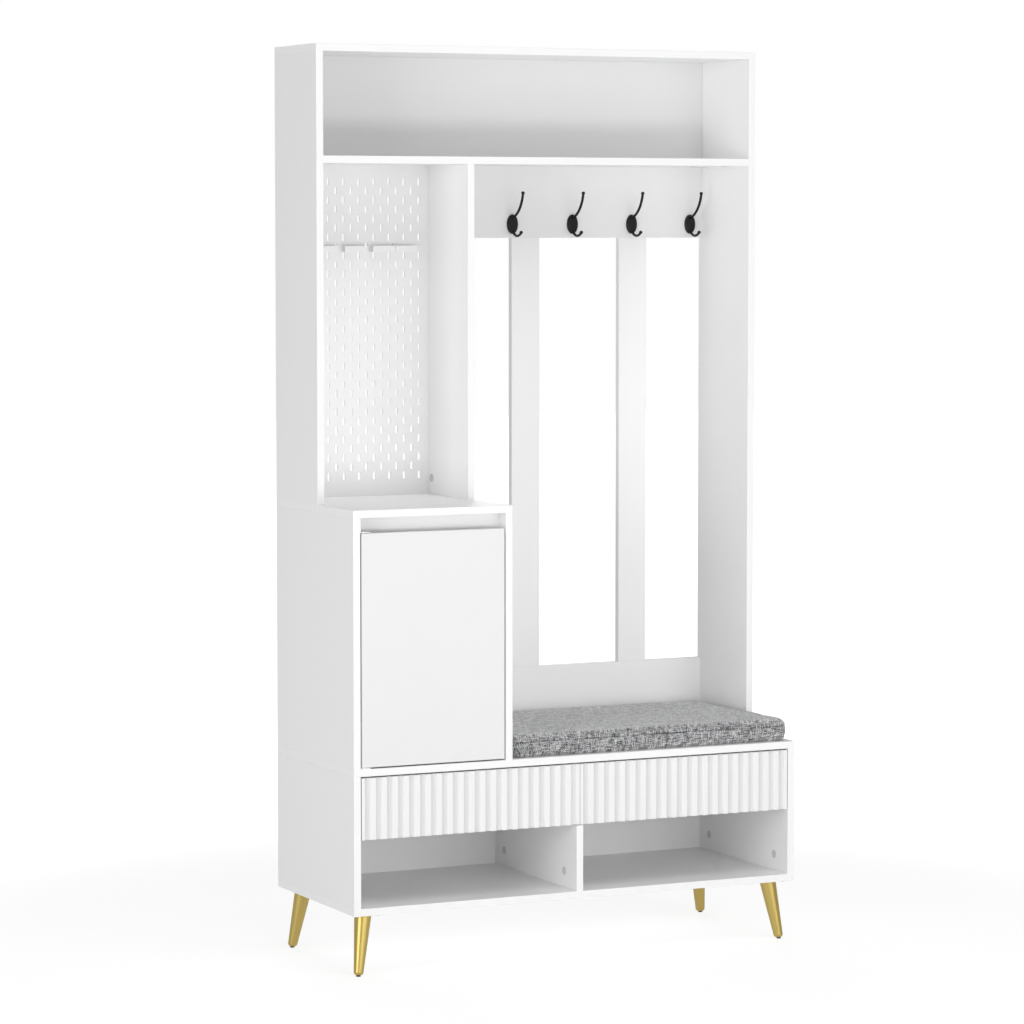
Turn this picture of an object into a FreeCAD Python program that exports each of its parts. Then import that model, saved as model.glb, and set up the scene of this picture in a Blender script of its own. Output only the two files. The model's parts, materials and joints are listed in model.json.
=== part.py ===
import FreeCAD, Part
import Sketcher
import os
import re

# Hall tree: a bench base on four splayed legs with two fluted drawers over two open cubbies,
# a tall cabinet with one door on the left, and a shallower upper unit with a hat shelf, a coat
# hook board, a slatted back and a niche with a slotted panel.
# Frame: X across (left is -X), Y from the front (-Y) to the back (+Y), Z up, floor at Z = 0.

SIZES = [
    # overall
    ("overallWidth", 1000, "across the side boards"),
    ("overallHeight", 1855, "floor to the top board"),
    ("baseDepth", 400, "front to back of base and cabinet"),
    ("upperDepth", 220, "front to back of the upper unit"),
    ("legHeight", 125, "floor to the bottom board"),
    ("baseHeight", 294, "bottom board's underside to the bench top"),
    ("cabinetHeight", 514, "bench top to the cabinet's top face"),
    ("cabinetWidth", 348, "across the cabinet and the niche"),
    # boards
    ("boardThickness", 15, "every structural board"),
    ("panelThickness", 5, "thin panels that slide in grooves"),
    ("edgeChamfer", 0.5, "broken edge on every board"),
    ("grooveDepth", 6, "depth of a panel groove"),
    ("grooveClearance", 0.3, "room for a thin panel in its groove"),
    ("backInset", 8, "back faces of the thin backs to the rear edge"),
    ("pegboardInset", 24, "back face of the slotted panel to the rear edge"),
    # upper unit
    ("hatSpace", 208, "clear height over the hat shelf"),
    ("hookBoardHeight", 151, "height of the hook board"),
    ("backRailHeight", 138, "height of the rail behind the bench"),
    ("slatWidth", 65, "width of a back slat"),
    ("slatRightGap", 136, "right slat to the right side board"),
    ("slatMiddleGap", 189, "between the two slats"),
    # slotted panel and its trays
    ("pegboardThickness", 3, "slotted panel"),
    ("slotWidth", 4.5, "width of a slot"),
    ("slotLength", 15, "height of a slot"),
    ("slotPitch", 34, "slot spacing in a row"),
    ("slotRowPitch", 19, "row spacing; every other row is staggered"),
    ("slotMargin", 27, "least room from a slot row to the shelf or cabinet top"),
    ("slotEdgeMargin", 15, "least room from a slot's middle to a side"),
    ("trayWidth", 50, "width of one clip-on tray"),
    ("trayHeight", 19, "height of a tray's back"),
    ("trayReach", 16, "how far a tray stands out"),
    ("trayWall", 2, "tray wall"),
    ("trayLip", 13, "height of a tray's front lip"),
    ("trayDrop", 160.5, "hat shelf to the top of the trays"),
    # door and finger gap
    ("doorGap", 3, "gap round the door"),
    ("fingerGap", 31, "door's top edge to the cabinet top"),
    ("fingerRailHeight", 47, "rail behind the finger gap"),
    ("fingerRailInset", 32, "front edge of the cabinet to the finger rail"),
    ("pivotInset", 6, "pivot axis from the door's left edge and front face"),
    ("pivotDiameter", 5, "pivot pin"),
    ("pivotReach", 20, "pivot pin inside the door"),
    ("pivotClearance", 0.1, "room round the pin in its bracket"),
    ("bracketWall", 2, "steel of the pivot brackets"),
    ("bracketWidth", 22, "pivot bracket across"),
    ("bracketDepth", 24, "pivot bracket front to back"),
    ("washerDiameter", 11, "washer under the door"),
    ("washerThickness", 0.9, "washer under the door"),
    ("catchHeight", 40, "magnetic catch"),
    ("catchWidth", 12, "magnetic catch, out from the cabinet side"),
    ("catchDepth", 16, "magnetic catch, front to back"),
    ("catchDrop", 60, "cabinet top's underside to the top of the catch"),
    ("strikePlate", 1.2, "strike plate on the door"),
    ("catchGap", 0.3, "catch to strike plate"),
    # cabinet shelf
    ("shelfRise", 235, "bench top to the underside of the cabinet shelf"),
    ("shelfSetback", 36, "front edge of the cabinet to the shelf"),
    ("shelfSideGap", 1, "shelf to the cabinet sides"),
    ("shelfPinDiameter", 5, "shelf pin"),
    ("shelfPinDepth", 9, "shelf pin inside the board"),
    ("shelfPinReach", 8, "shelf pin outside the board"),
    ("shelfPinInset", 50, "shelf pins from the shelf's front and back"),
    ("shelfHolePitch", 64, "spacing of the spare shelf pin holes"),
    # drawers
    ("drawerRise", 152, "bottom board's underside to the drawer fronts"),
    ("drawerGap", 2, "gap at the sides of a drawer front"),
    ("drawerMiddleGap", 1.2, "gap between the two drawer fronts"),
    ("drawerTopGap", 3, "drawer front to the bench board"),
    ("frontThickness", 16, "fluted drawer front"),
    ("fluteWidth", 14, "one flute"),
    ("fluteDepth", 4.5, "one flute"),
    ("flutePitch", 24, "spacing of the flutes"),
    ("fluteEndMargin", 4, "least flat at each end of a front"),
    ("drawerBackGap", 41, "drawer boxes to the back panel"),
    ("drawerWall", 12, "drawer sides and back"),
    ("drawerWallHeight", 90, "drawer sides and back"),
    ("drawerLift", 14, "bottom of the front to the drawer box"),
    ("drawerFloorRise", 8, "bottom of the box to the drawer bottom"),
    ("runnerSpace", 12.5, "drawer box to the board beside it"),
    ("runnerHeight", 35, "runner channel"),
    ("runnerWall", 1.2, "steel of the runners"),
    ("runnerPlay", 0.3, "running gap between the two runner members"),
    ("runnerFlange", 9.6, "runner flange"),
    ("runnerFrontGap", 4, "drawer front to the runners"),
    ("dividerGap", 2, "drawer fronts to the notched divider"),
    # coat hooks
    ("hookRightMargin", 31, "last hook to the right side board"),
    ("hookPitch", 141, "spacing of the hooks"),
    ("hookRise", 29, "hook board's lower edge to the middle of a hook plate"),
    ("hookPlateWidth", 25, "oval hook plate"),
    ("hookPlateHeight", 41, "oval hook plate"),
    ("hookPlateThickness", 6, "oval hook plate"),
    ("hookPlateRound", 4, "rounded rim of the plate"),
    ("hookWire", 5.5, "diameter of the prongs"),
    ("hookBall", 7.5, "diameter of the ball ends"),
    ("hookReach", 53, "upper prong's tip to the board"),
    ("hookTipRise", 65, "upper prong's tip above the plate's middle"),
    ("hookLowerReach", 44, "lower prong's tip to the board"),
    ("hookStudDiameter", 5, "threaded stud into the board"),
    ("hookStudLength", 11, "threaded stud into the board"),
    # legs
    ("legTopDiameter", 35, "leg at the plate"),
    ("legFootDiameter", 19, "leg at the foot"),
    ("legFootRound", 6, "rounded foot"),
    ("legSideInset", 38, "middle of the leg's top to the side edge"),
    ("legFrontInset", 45, "middle of the leg's top to the front or back edge"),
    ("legSplay", 18, "foot outward of the top, both ways"),
    ("legPlateSize", 62, "square mounting plate"),
    ("legPlateThickness", 2.5, "mounting plate"),
    ("legScrewSpacing", 46, "mounting screws, centre to centre"),
    ("glideHeight", 2.5, "plastic glide below the foot"),
    ("glideDiameter", 9, "plastic glide"),
    ("glideStud", 8, "glide stud up into the leg"),
    # cushion
    ("cushionThickness", 45, "seat cushion"),
    ("cushionRound", 18, "rounded edge of the cushion"),
    ("cushionGap", 3, "cushion to the boards round it"),
    ("cushionEndGap", 3, "cushion's front part to the bench's right edge"),
    ("cushionFrontGap", 4, "cushion to the bench's front edge"),
    ("softGap", 0.3, "cushion to the bench top"),
    # fasteners
    ("camDiameter", 15, "cam lock"),
    ("camDepth", 12, "cam lock inside the board"),
    ("camCapDiameter", 17, "cap of a cam lock"),
    ("camCapThickness", 0.8, "cap of a cam lock"),
    ("camReach", 34, "cam lock to the end of its board"),
    ("camInset", 57, "cam locks of the base from the front and back edges"),
    ("cabinetCamInset", 85, "cam locks of the cabinet from the front and back edges"),
    ("upperCamInset", 40, "cam locks of the upper unit from its edges"),
    ("boltDiameter", 6, "cam bolt"),
    ("boltAnchor", 10, "cam bolt inside the mating board"),
    ("dowelDiameter", 8, "wooden dowel"),
    ("dowelDepth", 8, "dowel inside each board"),
    ("dowelInset", 25, "dowels from a board's corners"),
    ("topScrewDiameter", 5, "screw through the top board"),
    ("topScrewLength", 50, "screw through the top board"),
    ("topScrewHeadDiameter", 9, "head of a top screw"),
    ("topScrewHeadHeight", 5, "lowest part of a top screw's head to the board's face"),
    ("topScrewRecess", 0.5, "top of a top screw's head to the board's face"),
    ("screwDiameter", 4, "leg screw"),
    ("screwLength", 12, "leg screw inside the board"),
    ("screwHeadDiameter", 8, "leg screw head"),
    ("screwHeadHeight", 1.6, "leg screw head"),
    ("fitClearance", 0.05, "radial room round pins, cams, bolts and screws"),
    ("anchorHoleDiameter", 3, "pilot hole for an anti-tip strap"),
    ("anchorHoleDepth", 12, "pilot hole for an anti-tip strap"),
    ("anchorInset", 100, "pilot holes from the side edges"),
]

# Planes that several pieces share, as formulas of the sizes
LEFT = "(-overallWidth / 2)"
RIGHT = "(overallWidth / 2)"
FRONT = "(-baseDepth / 2)"
BACK = "(baseDepth / 2)"
UPPER_FRONT = f"({BACK} - upperDepth)"
BOARD_BACK = f"({BACK} - boardThickness)"
LEFT_INNER = f"({LEFT} + boardThickness)"
RIGHT_INNER = f"({RIGHT} - boardThickness)"
CABINET_RIGHT = f"({LEFT} + cabinetWidth)"
CABINET_INNER = f"({CABINET_RIGHT} - boardThickness)"
BASE_FLOOR = "(legHeight + boardThickness)"
BENCH_TOP = "(legHeight + baseHeight)"
BENCH_UNDER = f"({BENCH_TOP} - boardThickness)"
CABINET_TOP = f"({BENCH_TOP} + cabinetHeight)"
CABINET_UNDER = f"({CABINET_TOP} - boardThickness)"
TOP_UNDER = "(overallHeight - boardThickness)"
HAT_SHELF_TOP = f"({TOP_UNDER} - hatSpace)"
HAT_SHELF_UNDER = f"({HAT_SHELF_TOP} - boardThickness)"
HOOK_BOARD_BOTTOM = f"({HAT_SHELF_UNDER} - hookBoardHeight)"
BACK_RAIL_TOP = f"({BENCH_TOP} + backRailHeight)"
DRAWER_BOTTOM = "(legHeight + drawerRise)"
DRAWER_TOP = f"({BENCH_UNDER} - drawerTopGap)"
DRAWER_BACK_OF_FRONT = f"({FRONT} + frontThickness)"
DOOR_BOTTOM = f"({BENCH_TOP} + doorGap)"
DOOR_TOP = f"({CABINET_UNDER} - fingerGap)"
PIVOT_X = f"({LEFT_INNER} + doorGap + pivotInset)"
PIVOT_Y = f"({FRONT} + pivotInset)"

TURN = {
    "x": FreeCAD.Rotation(FreeCAD.Vector(0, 1, 0), 90),
    "y": FreeCAD.Rotation(FreeCAD.Vector(1, 0, 0), -90),
    "z": FreeCAD.Rotation(),
}
SIZE_WORD = re.compile(r"\b(" + "|".join(word for word, value, note in SIZES) + r")\b")

doc = FreeCAD.newDocument("HallTree")
sheet = doc.addObject("Spreadsheet::Sheet", "Sizes")
for row, (word, value, note) in enumerate(SIZES, start=1):
    sheet.set(f"A{row}", str(value))
    sheet.setAlias(f"A{row}", word)
    sheet.set(f"B{row}", note)
doc.recompute()

nodes = []     # labels of the finished sub-parts, in order
cutters = {}   # board label -> tools that cut it


def size(word):
    return float(sheet.get(word))


def bind(thing, formulas):
    """Tie properties of a thing to formulas of the sizes."""
    for prop, formula in formulas.items():
        thing.setExpression(prop, SIZE_WORD.sub(r"Sizes.\1", formula))


def box(name, x, y, z):
    """A box between two corners; x, y and z are (low, high) formulas."""
    thing = doc.addObject("Part::Box", name)
    bind(thing, {
        "Length": f"{x[1]} - ({x[0]})", "Width": f"{y[1]} - ({y[0]})", "Height": f"{z[1]} - ({z[0]})",
        "Placement.Base.x": x[0], "Placement.Base.y": y[0], "Placement.Base.z": z[0],
    })
    return thing


def cylinder(name, axis, diameter, low, high, at):
    """A cylinder along an axis from low to high; at holds its other two coordinates."""
    thing = doc.addObject("Part::Cylinder", name)
    thing.Placement = FreeCAD.Placement(FreeCAD.Vector(), TURN[axis])
    base = dict(at)
    base[axis] = low
    bind(thing, {
        "Radius": f"({diameter}) / 2", "Height": f"{high} - ({low})",
        "Placement.Base.x": base["x"], "Placement.Base.y": base["y"], "Placement.Base.z": base["z"],
    })
    return thing


def combine(kind, name, pieces):
    """A fuse or a compound of several pieces."""
    if len(pieces) == 1:
        return pieces[0]
    thing = doc.addObject(kind, name)
    if kind == "Part::Compound":
        thing.Links = pieces
    else:
        thing.Shapes = pieces
    return thing


def finish(thing, label):
    """Make a thing the finished sub-part of that name."""
    thing.Label = label
    nodes.append(label)
    return thing


def let_in(tool, *boards):
    """Cut a tool out of the named boards when they are finished."""
    for label in boards:
        cutters.setdefault(label, []).append(tool)


def finish_cut(blank, label):
    """Finish a piece, less everything let into it."""
    tools = cutters.pop(label, [])
    if not tools:
        return finish(blank, label)
    cut = doc.addObject("Part::Cut", label + "_cut")
    cut.Base = blank
    cut.Tool = combine("Part::Compound", label + "_tools", tools)
    return finish(cut, label)


def ordered(first, second, sign):
    return (first, second) if sign > 0 else (second, first)


def signed(sign):
    return "+" if sign > 0 else "-"


# Boards: label -> corners. Horizontal boards of the base and cabinet run over the uprights.

ALL_DEPTH = (FRONT, BACK)
UPPER_SPAN = (UPPER_FRONT, BACK)
BACK_SPAN = (BOARD_BACK, BACK)
LEFT_BOARD = (LEFT, LEFT_INNER)
RIGHT_BOARD = (RIGHT_INNER, RIGHT)
CABINET_BOARD = (CABINET_INNER, CABINET_RIGHT)
BASE_SPAN = (BASE_FLOOR, BENCH_UNDER)
CABINET_SPAN = (BENCH_TOP, CABINET_UNDER)
SLAT_SPAN = (BACK_RAIL_TOP, HOOK_BOARD_BOTTOM)
RIGHT_SLAT_LEFT = f"({RIGHT_INNER} - slatRightGap - slatWidth)"
LEFT_SLAT_LEFT = f"({RIGHT_SLAT_LEFT} - slatMiddleGap - slatWidth)"
RAIL_FRONT = f"({FRONT} + fingerRailInset)"
SHELF_UNDER = f"({BENCH_TOP} + shelfRise)"
SHELF_FRONT = f"({FRONT} + shelfSetback)"
SHELF_BACK = f"({BACK} - backInset - panelThickness - shelfSideGap)"

BOARDS = {
    "bottom_board": ((LEFT, RIGHT), ALL_DEPTH, ("legHeight", BASE_FLOOR)),
    "base_side_left": (LEFT_BOARD, ALL_DEPTH, BASE_SPAN),
    "base_side_right": (RIGHT_BOARD, ALL_DEPTH, BASE_SPAN),
    "centre_divider": (
        ("-boardThickness / 2", "boardThickness / 2"),
        (FRONT, f"{BACK} - backInset - panelThickness"),
        BASE_SPAN,
    ),
    "bench_board": ((LEFT, RIGHT), ALL_DEPTH, (BENCH_UNDER, BENCH_TOP)),
    "cabinet_side_left": (LEFT_BOARD, ALL_DEPTH, CABINET_SPAN),
    "cabinet_side_right": (CABINET_BOARD, ALL_DEPTH, CABINET_SPAN),
    "cabinet_top": ((LEFT, CABINET_RIGHT), ALL_DEPTH, (CABINET_UNDER, CABINET_TOP)),
    "cabinet_shelf": (
        (f"{LEFT_INNER} + shelfSideGap", f"{CABINET_INNER} - shelfSideGap"),
        (SHELF_FRONT, SHELF_BACK),
        (SHELF_UNDER, f"{SHELF_UNDER} + boardThickness"),
    ),
    "finger_rail": (
        (LEFT_INNER, CABINET_INNER),
        (RAIL_FRONT, f"{RAIL_FRONT} + boardThickness"),
        (f"{CABINET_UNDER} - fingerRailHeight", CABINET_UNDER),
    ),
    "upper_side_left": (LEFT_BOARD, UPPER_SPAN, (CABINET_TOP, TOP_UNDER)),
    "upper_side_right": (RIGHT_BOARD, UPPER_SPAN, (BENCH_TOP, TOP_UNDER)),
    "partition": (CABINET_BOARD, UPPER_SPAN, (CABINET_TOP, HAT_SHELF_UNDER)),
    "top_board": ((LEFT, RIGHT), UPPER_SPAN, (TOP_UNDER, "overallHeight")),
    "hat_shelf": ((LEFT_INNER, RIGHT_INNER), UPPER_SPAN, (HAT_SHELF_UNDER, HAT_SHELF_TOP)),
    "top_back_panel": ((LEFT_INNER, RIGHT_INNER), BACK_SPAN, (HAT_SHELF_TOP, TOP_UNDER)),
    "hook_board": ((CABINET_RIGHT, RIGHT_INNER), BACK_SPAN, (HOOK_BOARD_BOTTOM, HAT_SHELF_UNDER)),
    "lower_back_rail": ((CABINET_RIGHT, RIGHT_INNER), BACK_SPAN, (BENCH_TOP, BACK_RAIL_TOP)),
    "slat_left": ((LEFT_SLAT_LEFT, f"{LEFT_SLAT_LEFT} + slatWidth"), BACK_SPAN, SLAT_SPAN),
    "slat_right": ((RIGHT_SLAT_LEFT, f"{RIGHT_SLAT_LEFT} + slatWidth"), BACK_SPAN, SLAT_SPAN),
}


def board_blank(label):
    """A board with all its edges broken."""
    blank = box(label + "_blank", *BOARDS[label])
    eased = doc.addObject("Part::Chamfer", label + "_eased")
    eased.Base = blank
    chamfer = size("edgeChamfer")
    eased.Edges = [(edge, chamfer, chamfer) for edge in range(1, 13)]
    return eased


# Fasteners

cam_locks = []
cam_bolts = []
dowels = []


def cam_joint(panel, mate, run, sign, plane, face_axis, face_sign, face, position):
    """A cam lock in a panel's face and the bolt that ties its end to the mate.

    The bolt runs along run; plane is the panel's end and sign the way the panel goes from it.
    The cam goes in from the panel's face; face_sign is the way that face looks.
    position is the third coordinate, as a one-entry dictionary.
    """
    number = len(cam_locks) + 1
    cam_at = {run: f"{plane} {signed(sign)} camReach", **position}
    depth = ordered(face, f"{face} {signed(-face_sign)} camDepth", -face_sign)
    hole = ordered(face, f"{face} {signed(-face_sign)} (camDepth + fitClearance)", -face_sign)
    cap = ordered(face, f"{face} {signed(face_sign)} camCapThickness", face_sign)
    body = cylinder(f"cam_body_{number}", face_axis, "camDiameter", *depth, cam_at)
    lid = cylinder(f"cam_cap_{number}", face_axis, "camCapDiameter", *cap, cam_at)
    cam_locks.append(combine("Part::MultiFuse", f"cam_lock_{number}", [body, lid]))
    hole_size = "camDiameter + 2 * fitClearance"
    let_in(cylinder(f"cam_hole_{number}", face_axis, hole_size, *hole, cam_at), panel)

    middle = f"{face} {signed(-face_sign)} boardThickness / 2"
    bolt_at = {face_axis: middle, **position}
    cam_edge = f"{plane} {signed(sign)} (camReach - camDiameter / 2 - 0.3)"
    anchor = f"{plane} {signed(-sign)} boltAnchor"
    bolt = ordered(anchor, cam_edge, sign)
    bore = ordered(anchor, f"{plane} {signed(sign)} camReach", sign)
    cam_bolts.append(cylinder(f"cam_bolt_{number}", run, "boltDiameter", *bolt, bolt_at))
    bore_size = "boltDiameter + 2 * fitClearance"
    let_in(cylinder(f"bolt_hole_{number}", run, bore_size, *bore, bolt_at), panel, mate)


def end_joint(panel, side, facing, end, sign, edge):
    """A cam joint at one end of an upright board."""
    face = side[1] if facing > 0 else side[0]
    cam_joint(panel, end[0], "z", sign, end[1], "x", facing, face, {"y": edge})


def upright_joints(panel, side, facing, bottom, top, edges):
    """Cam joints at an upright board's two ends, near its front and back edges."""
    for edge in edges:
        end_joint(panel, side, facing, bottom, 1, edge)
        end_joint(panel, side, facing, top, -1, edge)


def top_screw(number, panel, side, edge):
    """A countersunk screw down through the top board into the end of an upright."""
    at = {"x": f"({side[0]} + {side[1]}) / 2", "y": edge}
    name = f"top_screw_{number}"
    head_z = ("overallHeight - topScrewHeadHeight", "overallHeight - topScrewRecess")
    shank_z = ("overallHeight - topScrewLength", head_z[0])
    head = cylinder(name + "_head", "z", "topScrewHeadDiameter", *head_z, at)
    shank = cylinder(name + "_shank", "z", "topScrewDiameter", *shank_z, at)
    head_size = "topScrewHeadDiameter + 2 * fitClearance"
    shank_size = "topScrewDiameter + 2 * fitClearance"
    let_in(cylinder(name + "_sink", "z", head_size, head_z[0], "overallHeight + 1", at), "top_board")
    let_in(cylinder(name + "_hole", "z", shank_size, *shank_z, at), "top_board", panel)
    return combine("Part::MultiFuse", name, [head, shank])


def dowel(run, plane, at, first, second):
    """A dowel across the plane where two boards meet."""
    number = len(dowels) + 1
    low, high = f"{plane} - dowelDepth", f"{plane} + dowelDepth"
    dowels.append(cylinder(f"dowel_{number}", run, "dowelDiameter", low, high, at))
    hole_size = "dowelDiameter + 2 * fitClearance"
    let_in(cylinder(f"dowel_hole_{number}", run, hole_size, low, high, at), first, second)


def join_boards():
    """Cam locks between the boards, and dowels where the back boards meet the rest."""
    wide = (f"{FRONT} + camInset", f"{BACK} - camInset")
    middling = (f"{FRONT} + cabinetCamInset", f"{BACK} - cabinetCamInset")
    narrow = (f"{UPPER_FRONT} + upperCamInset", f"{BACK} - upperCamInset")
    floor, bench = ("bottom_board", BASE_FLOOR), ("bench_board", BENCH_UNDER)
    seat, lid = ("bench_board", BENCH_TOP), ("cabinet_top", CABINET_UNDER)
    deck, shelf = ("cabinet_top", CABINET_TOP), ("hat_shelf", HAT_SHELF_UNDER)
    upright_joints("base_side_left", LEFT_BOARD, 1, floor, bench, wide)
    upright_joints("base_side_right", RIGHT_BOARD, -1, floor, bench, wide)
    upright_joints("centre_divider", BOARDS["centre_divider"][0], -1, floor, bench, wide)
    upright_joints("cabinet_side_left", LEFT_BOARD, 1, seat, lid, middling)
    upright_joints("cabinet_side_right", CABINET_BOARD, -1, seat, lid, middling)
    screws = []
    for edge, facing in zip(narrow, (1, -1)):
        end_joint("upper_side_left", LEFT_BOARD, 1, deck, 1, edge)
        end_joint("upper_side_right", RIGHT_BOARD, -1, seat, 1, edge)
        end_joint("partition", CABINET_BOARD, facing, deck, 1, edge)
        end_joint("partition", CABINET_BOARD, 1, shelf, -1, edge)
        screws.append(top_screw(len(screws) + 1, "upper_side_left", LEFT_BOARD, edge))
        screws.append(top_screw(len(screws) + 1, "upper_side_right", RIGHT_BOARD, edge))
    finish(combine("Part::Compound", "top_screw_set", screws), "top_screws")
    for y in narrow:
        for mate, sign, plane in (("upper_side_left", 1, LEFT_INNER), ("upper_side_right", -1, RIGHT_INNER)):
            cam_joint("hat_shelf", mate, "x", sign, plane, "z", -1, HAT_SHELF_UNDER, {"y": y})

    middle = f"{BACK} - boardThickness / 2"
    ends = [
        ("top_back_panel", "upper_side_left", LEFT_INNER, HAT_SHELF_TOP, TOP_UNDER, middle),
        ("top_back_panel", "upper_side_right", RIGHT_INNER, HAT_SHELF_TOP, TOP_UNDER, middle),
        ("hook_board", "partition", CABINET_RIGHT, HOOK_BOARD_BOTTOM, HAT_SHELF_UNDER, middle),
        ("hook_board", "upper_side_right", RIGHT_INNER, HOOK_BOARD_BOTTOM, HAT_SHELF_UNDER, middle),
        ("lower_back_rail", "cabinet_side_right", CABINET_RIGHT, BENCH_TOP, BACK_RAIL_TOP, middle),
        ("lower_back_rail", "upper_side_right", RIGHT_INNER, BENCH_TOP, BACK_RAIL_TOP, middle),
    ]
    for board, mate, plane, bottom, top_edge, y in ends:
        for z in (f"{bottom} + dowelInset", f"{top_edge} - dowelInset"):
            dowel("x", plane, {"y": y, "z": z}, board, mate)
    rail_at = {"y": f"{RAIL_FRONT} + boardThickness / 2", "z": f"{CABINET_UNDER} - fingerRailHeight / 2"}
    dowel("x", LEFT_INNER, rail_at, "finger_rail", "cabinet_side_left")
    dowel("x", CABINET_INNER, rail_at, "finger_rail", "cabinet_side_right")
    for slat in ("slat_left", "slat_right"):
        low, high = BOARDS[slat][0]
        for x in (f"{low} + slatWidth / 4", f"{high} - slatWidth / 4"):
            dowel("z", BACK_RAIL_TOP, {"x": x, "y": middle}, slat, "lower_back_rail")
            dowel("z", HOOK_BOARD_BOTTOM, {"x": x, "y": middle}, slat, "hook_board")


# Thin panels in grooves

def grooved_panel(label, x, z, inset, neighbours, thickness="panelThickness"):
    """The corners of a thin panel that is let into the four boards round it."""
    y = (f"{BACK} - {inset} - {thickness}", f"{BACK} - {inset}")
    cut = [
        (f"{low} - grooveDepth", f"{high} + grooveDepth") for low, high in (x, z)
    ]
    groove_y = (f"{y[0]} - grooveClearance", f"{y[1]} + grooveClearance")
    let_in(box(label + "_groove", cut[0], groove_y, cut[1]), *neighbours)
    seat = "grooveDepth - grooveClearance"
    return (f"{x[0]} - ({seat})", f"{x[1]} + ({seat})"), y, (f"{z[0]} - ({seat})", f"{z[1]} + ({seat})")


def thin_backs():
    """The plain backs of the base and the cabinet."""
    base = ("base_side_left", "base_side_right", "bottom_board", "bench_board")
    span = grooved_panel("base_back_panel", (LEFT_INNER, RIGHT_INNER), BASE_SPAN, "backInset", base)
    finish(box("base_back_panel_board", *span), "base_back_panel")
    cabinet = ("cabinet_side_left", "cabinet_side_right", "bench_board", "cabinet_top")
    inside = (LEFT_INNER, CABINET_INNER)
    span = grooved_panel("cabinet_back_panel", inside, CABINET_SPAN, "backInset", cabinet)
    finish(box("cabinet_back_panel_board", *span), "cabinet_back_panel")


def slot_wire(x, z):
    """The closed outline of one upright slot with round ends, in the XZ plane."""
    half, straight = size("slotWidth") / 2, (size("slotLength") - size("slotWidth")) / 2
    corners = [FreeCAD.Vector(x + sx * half, 0, z + sz * straight)
               for sx, sz in ((-1, -1), (-1, 1), (1, 1), (1, -1))]
    crown = FreeCAD.Vector(x, 0, z + straight + half)
    foot = FreeCAD.Vector(x, 0, z - straight - half)
    return Part.Wire([
        Part.LineSegment(corners[0], corners[1]).toShape(),
        Part.Arc(corners[1], crown, corners[2]).toShape(),
        Part.LineSegment(corners[2], corners[3]).toShape(),
        Part.Arc(corners[3], foot, corners[0]).toShape(),
    ])


def slot_rows():
    """Slot centres from the middle of the niche and the hat shelf: rows of x, with their drop."""
    niche = size("cabinetWidth") - 2 * size("boardThickness")
    top = size("overallHeight") - 2 * size("boardThickness") - size("hatSpace")
    height = top - size("legHeight") - size("baseHeight") - size("cabinetHeight")
    half_slot = size("slotLength") / 2
    first_drop = size("slotMargin") + half_slot
    pitch, row_pitch = size("slotPitch"), size("slotRowPitch")
    row_count = int((height - 2 * first_drop) / row_pitch) + 1
    reach = niche / 2 - size("slotEdgeMargin")
    for row in range(row_count):
        shift = pitch / 2 if row % 2 else 0
        steps = int((reach - shift) / pitch)
        columns = [shift + pitch * step for step in range(-steps - (1 if shift else 0), steps + 1)]
        yield first_drop + row * row_pitch, columns


def pegboard():
    """The slotted panel of the niche: staggered rows of upright slots."""
    neighbours = ("upper_side_left", "partition", "cabinet_top", "hat_shelf")
    inside, height = (LEFT_INNER, CABINET_INNER), (CABINET_TOP, HAT_SHELF_UNDER)
    grooved_panel("pegboard", inside, height, "pegboardInset", neighbours, "pegboardThickness")
    seat = size("grooveDepth") - size("grooveClearance")
    left = -size("overallWidth") / 2 + size("boardThickness")
    right = -size("overallWidth") / 2 + size("cabinetWidth") - size("boardThickness")
    bottom = size("legHeight") + size("baseHeight") + size("cabinetHeight")
    top = size("overallHeight") - 2 * size("boardThickness") - size("hatSpace")
    front = size("baseDepth") / 2 - size("pegboardInset") - size("pegboardThickness")
    corners = [
        FreeCAD.Vector(x, 0, z)
        for x, z in (
            (left - seat, bottom - seat), (right + seat, bottom - seat),
            (right + seat, top + seat), (left - seat, top + seat),
        )
    ]
    outline = Part.makePolygon(corners + corners[:1])
    middle = (left + right) / 2
    slots = [slot_wire(middle + x, top - drop) for drop, columns in slot_rows() for x in columns]
    face = Part.makeFace([outline] + slots, "Part::FaceMakerBullseye")
    panel = doc.addObject("Part::Feature", "pegboard_panel")
    panel.Shape = face.extrude(FreeCAD.Vector(0, size("pegboardThickness"), 0))
    panel.Placement = FreeCAD.Placement(FreeCAD.Vector(0, front, 0), FreeCAD.Rotation())
    finish(panel, "pegboard")


def peg_trays():
    """A row of small clip-on trays on the slotted panel, spaced as they are slid along it."""
    face = f"{BACK} - pegboardInset - pegboardThickness"
    top = f"{HAT_SHELF_UNDER} - trayDrop"
    bottom = f"{top} - trayHeight"
    middle = f"({LEFT_INNER} + {CABINET_INNER}) / 2"
    trays = []
    for step in (-2.25, -0.35, 1.5, 3):
        low = f"{middle} + {step} * slotPitch - trayWidth / 2"
        high = f"{middle} + {step} * slotPitch + trayWidth / 2"
        name = f"tray_{len(trays) + 1}"
        plate = box(name + "_back", (low, high), (f"{face} - trayWall", face), (bottom, top))
        reach = (f"{face} - trayReach", face)
        ledge = box(name + "_ledge", (low, high), reach, (bottom, f"{bottom} + trayWall"))
        lip_y = (reach[0], f"{reach[0]} + trayWall")
        lip = box(name + "_lip", (low, high), lip_y, (bottom, f"{bottom} + trayLip"))
        trays.append(combine("Part::MultiFuse", name, [plate, ledge, lip]))
    finish(combine("Part::Compound", "tray_row", trays), "peg_trays")


# Cabinet fittings

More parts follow.
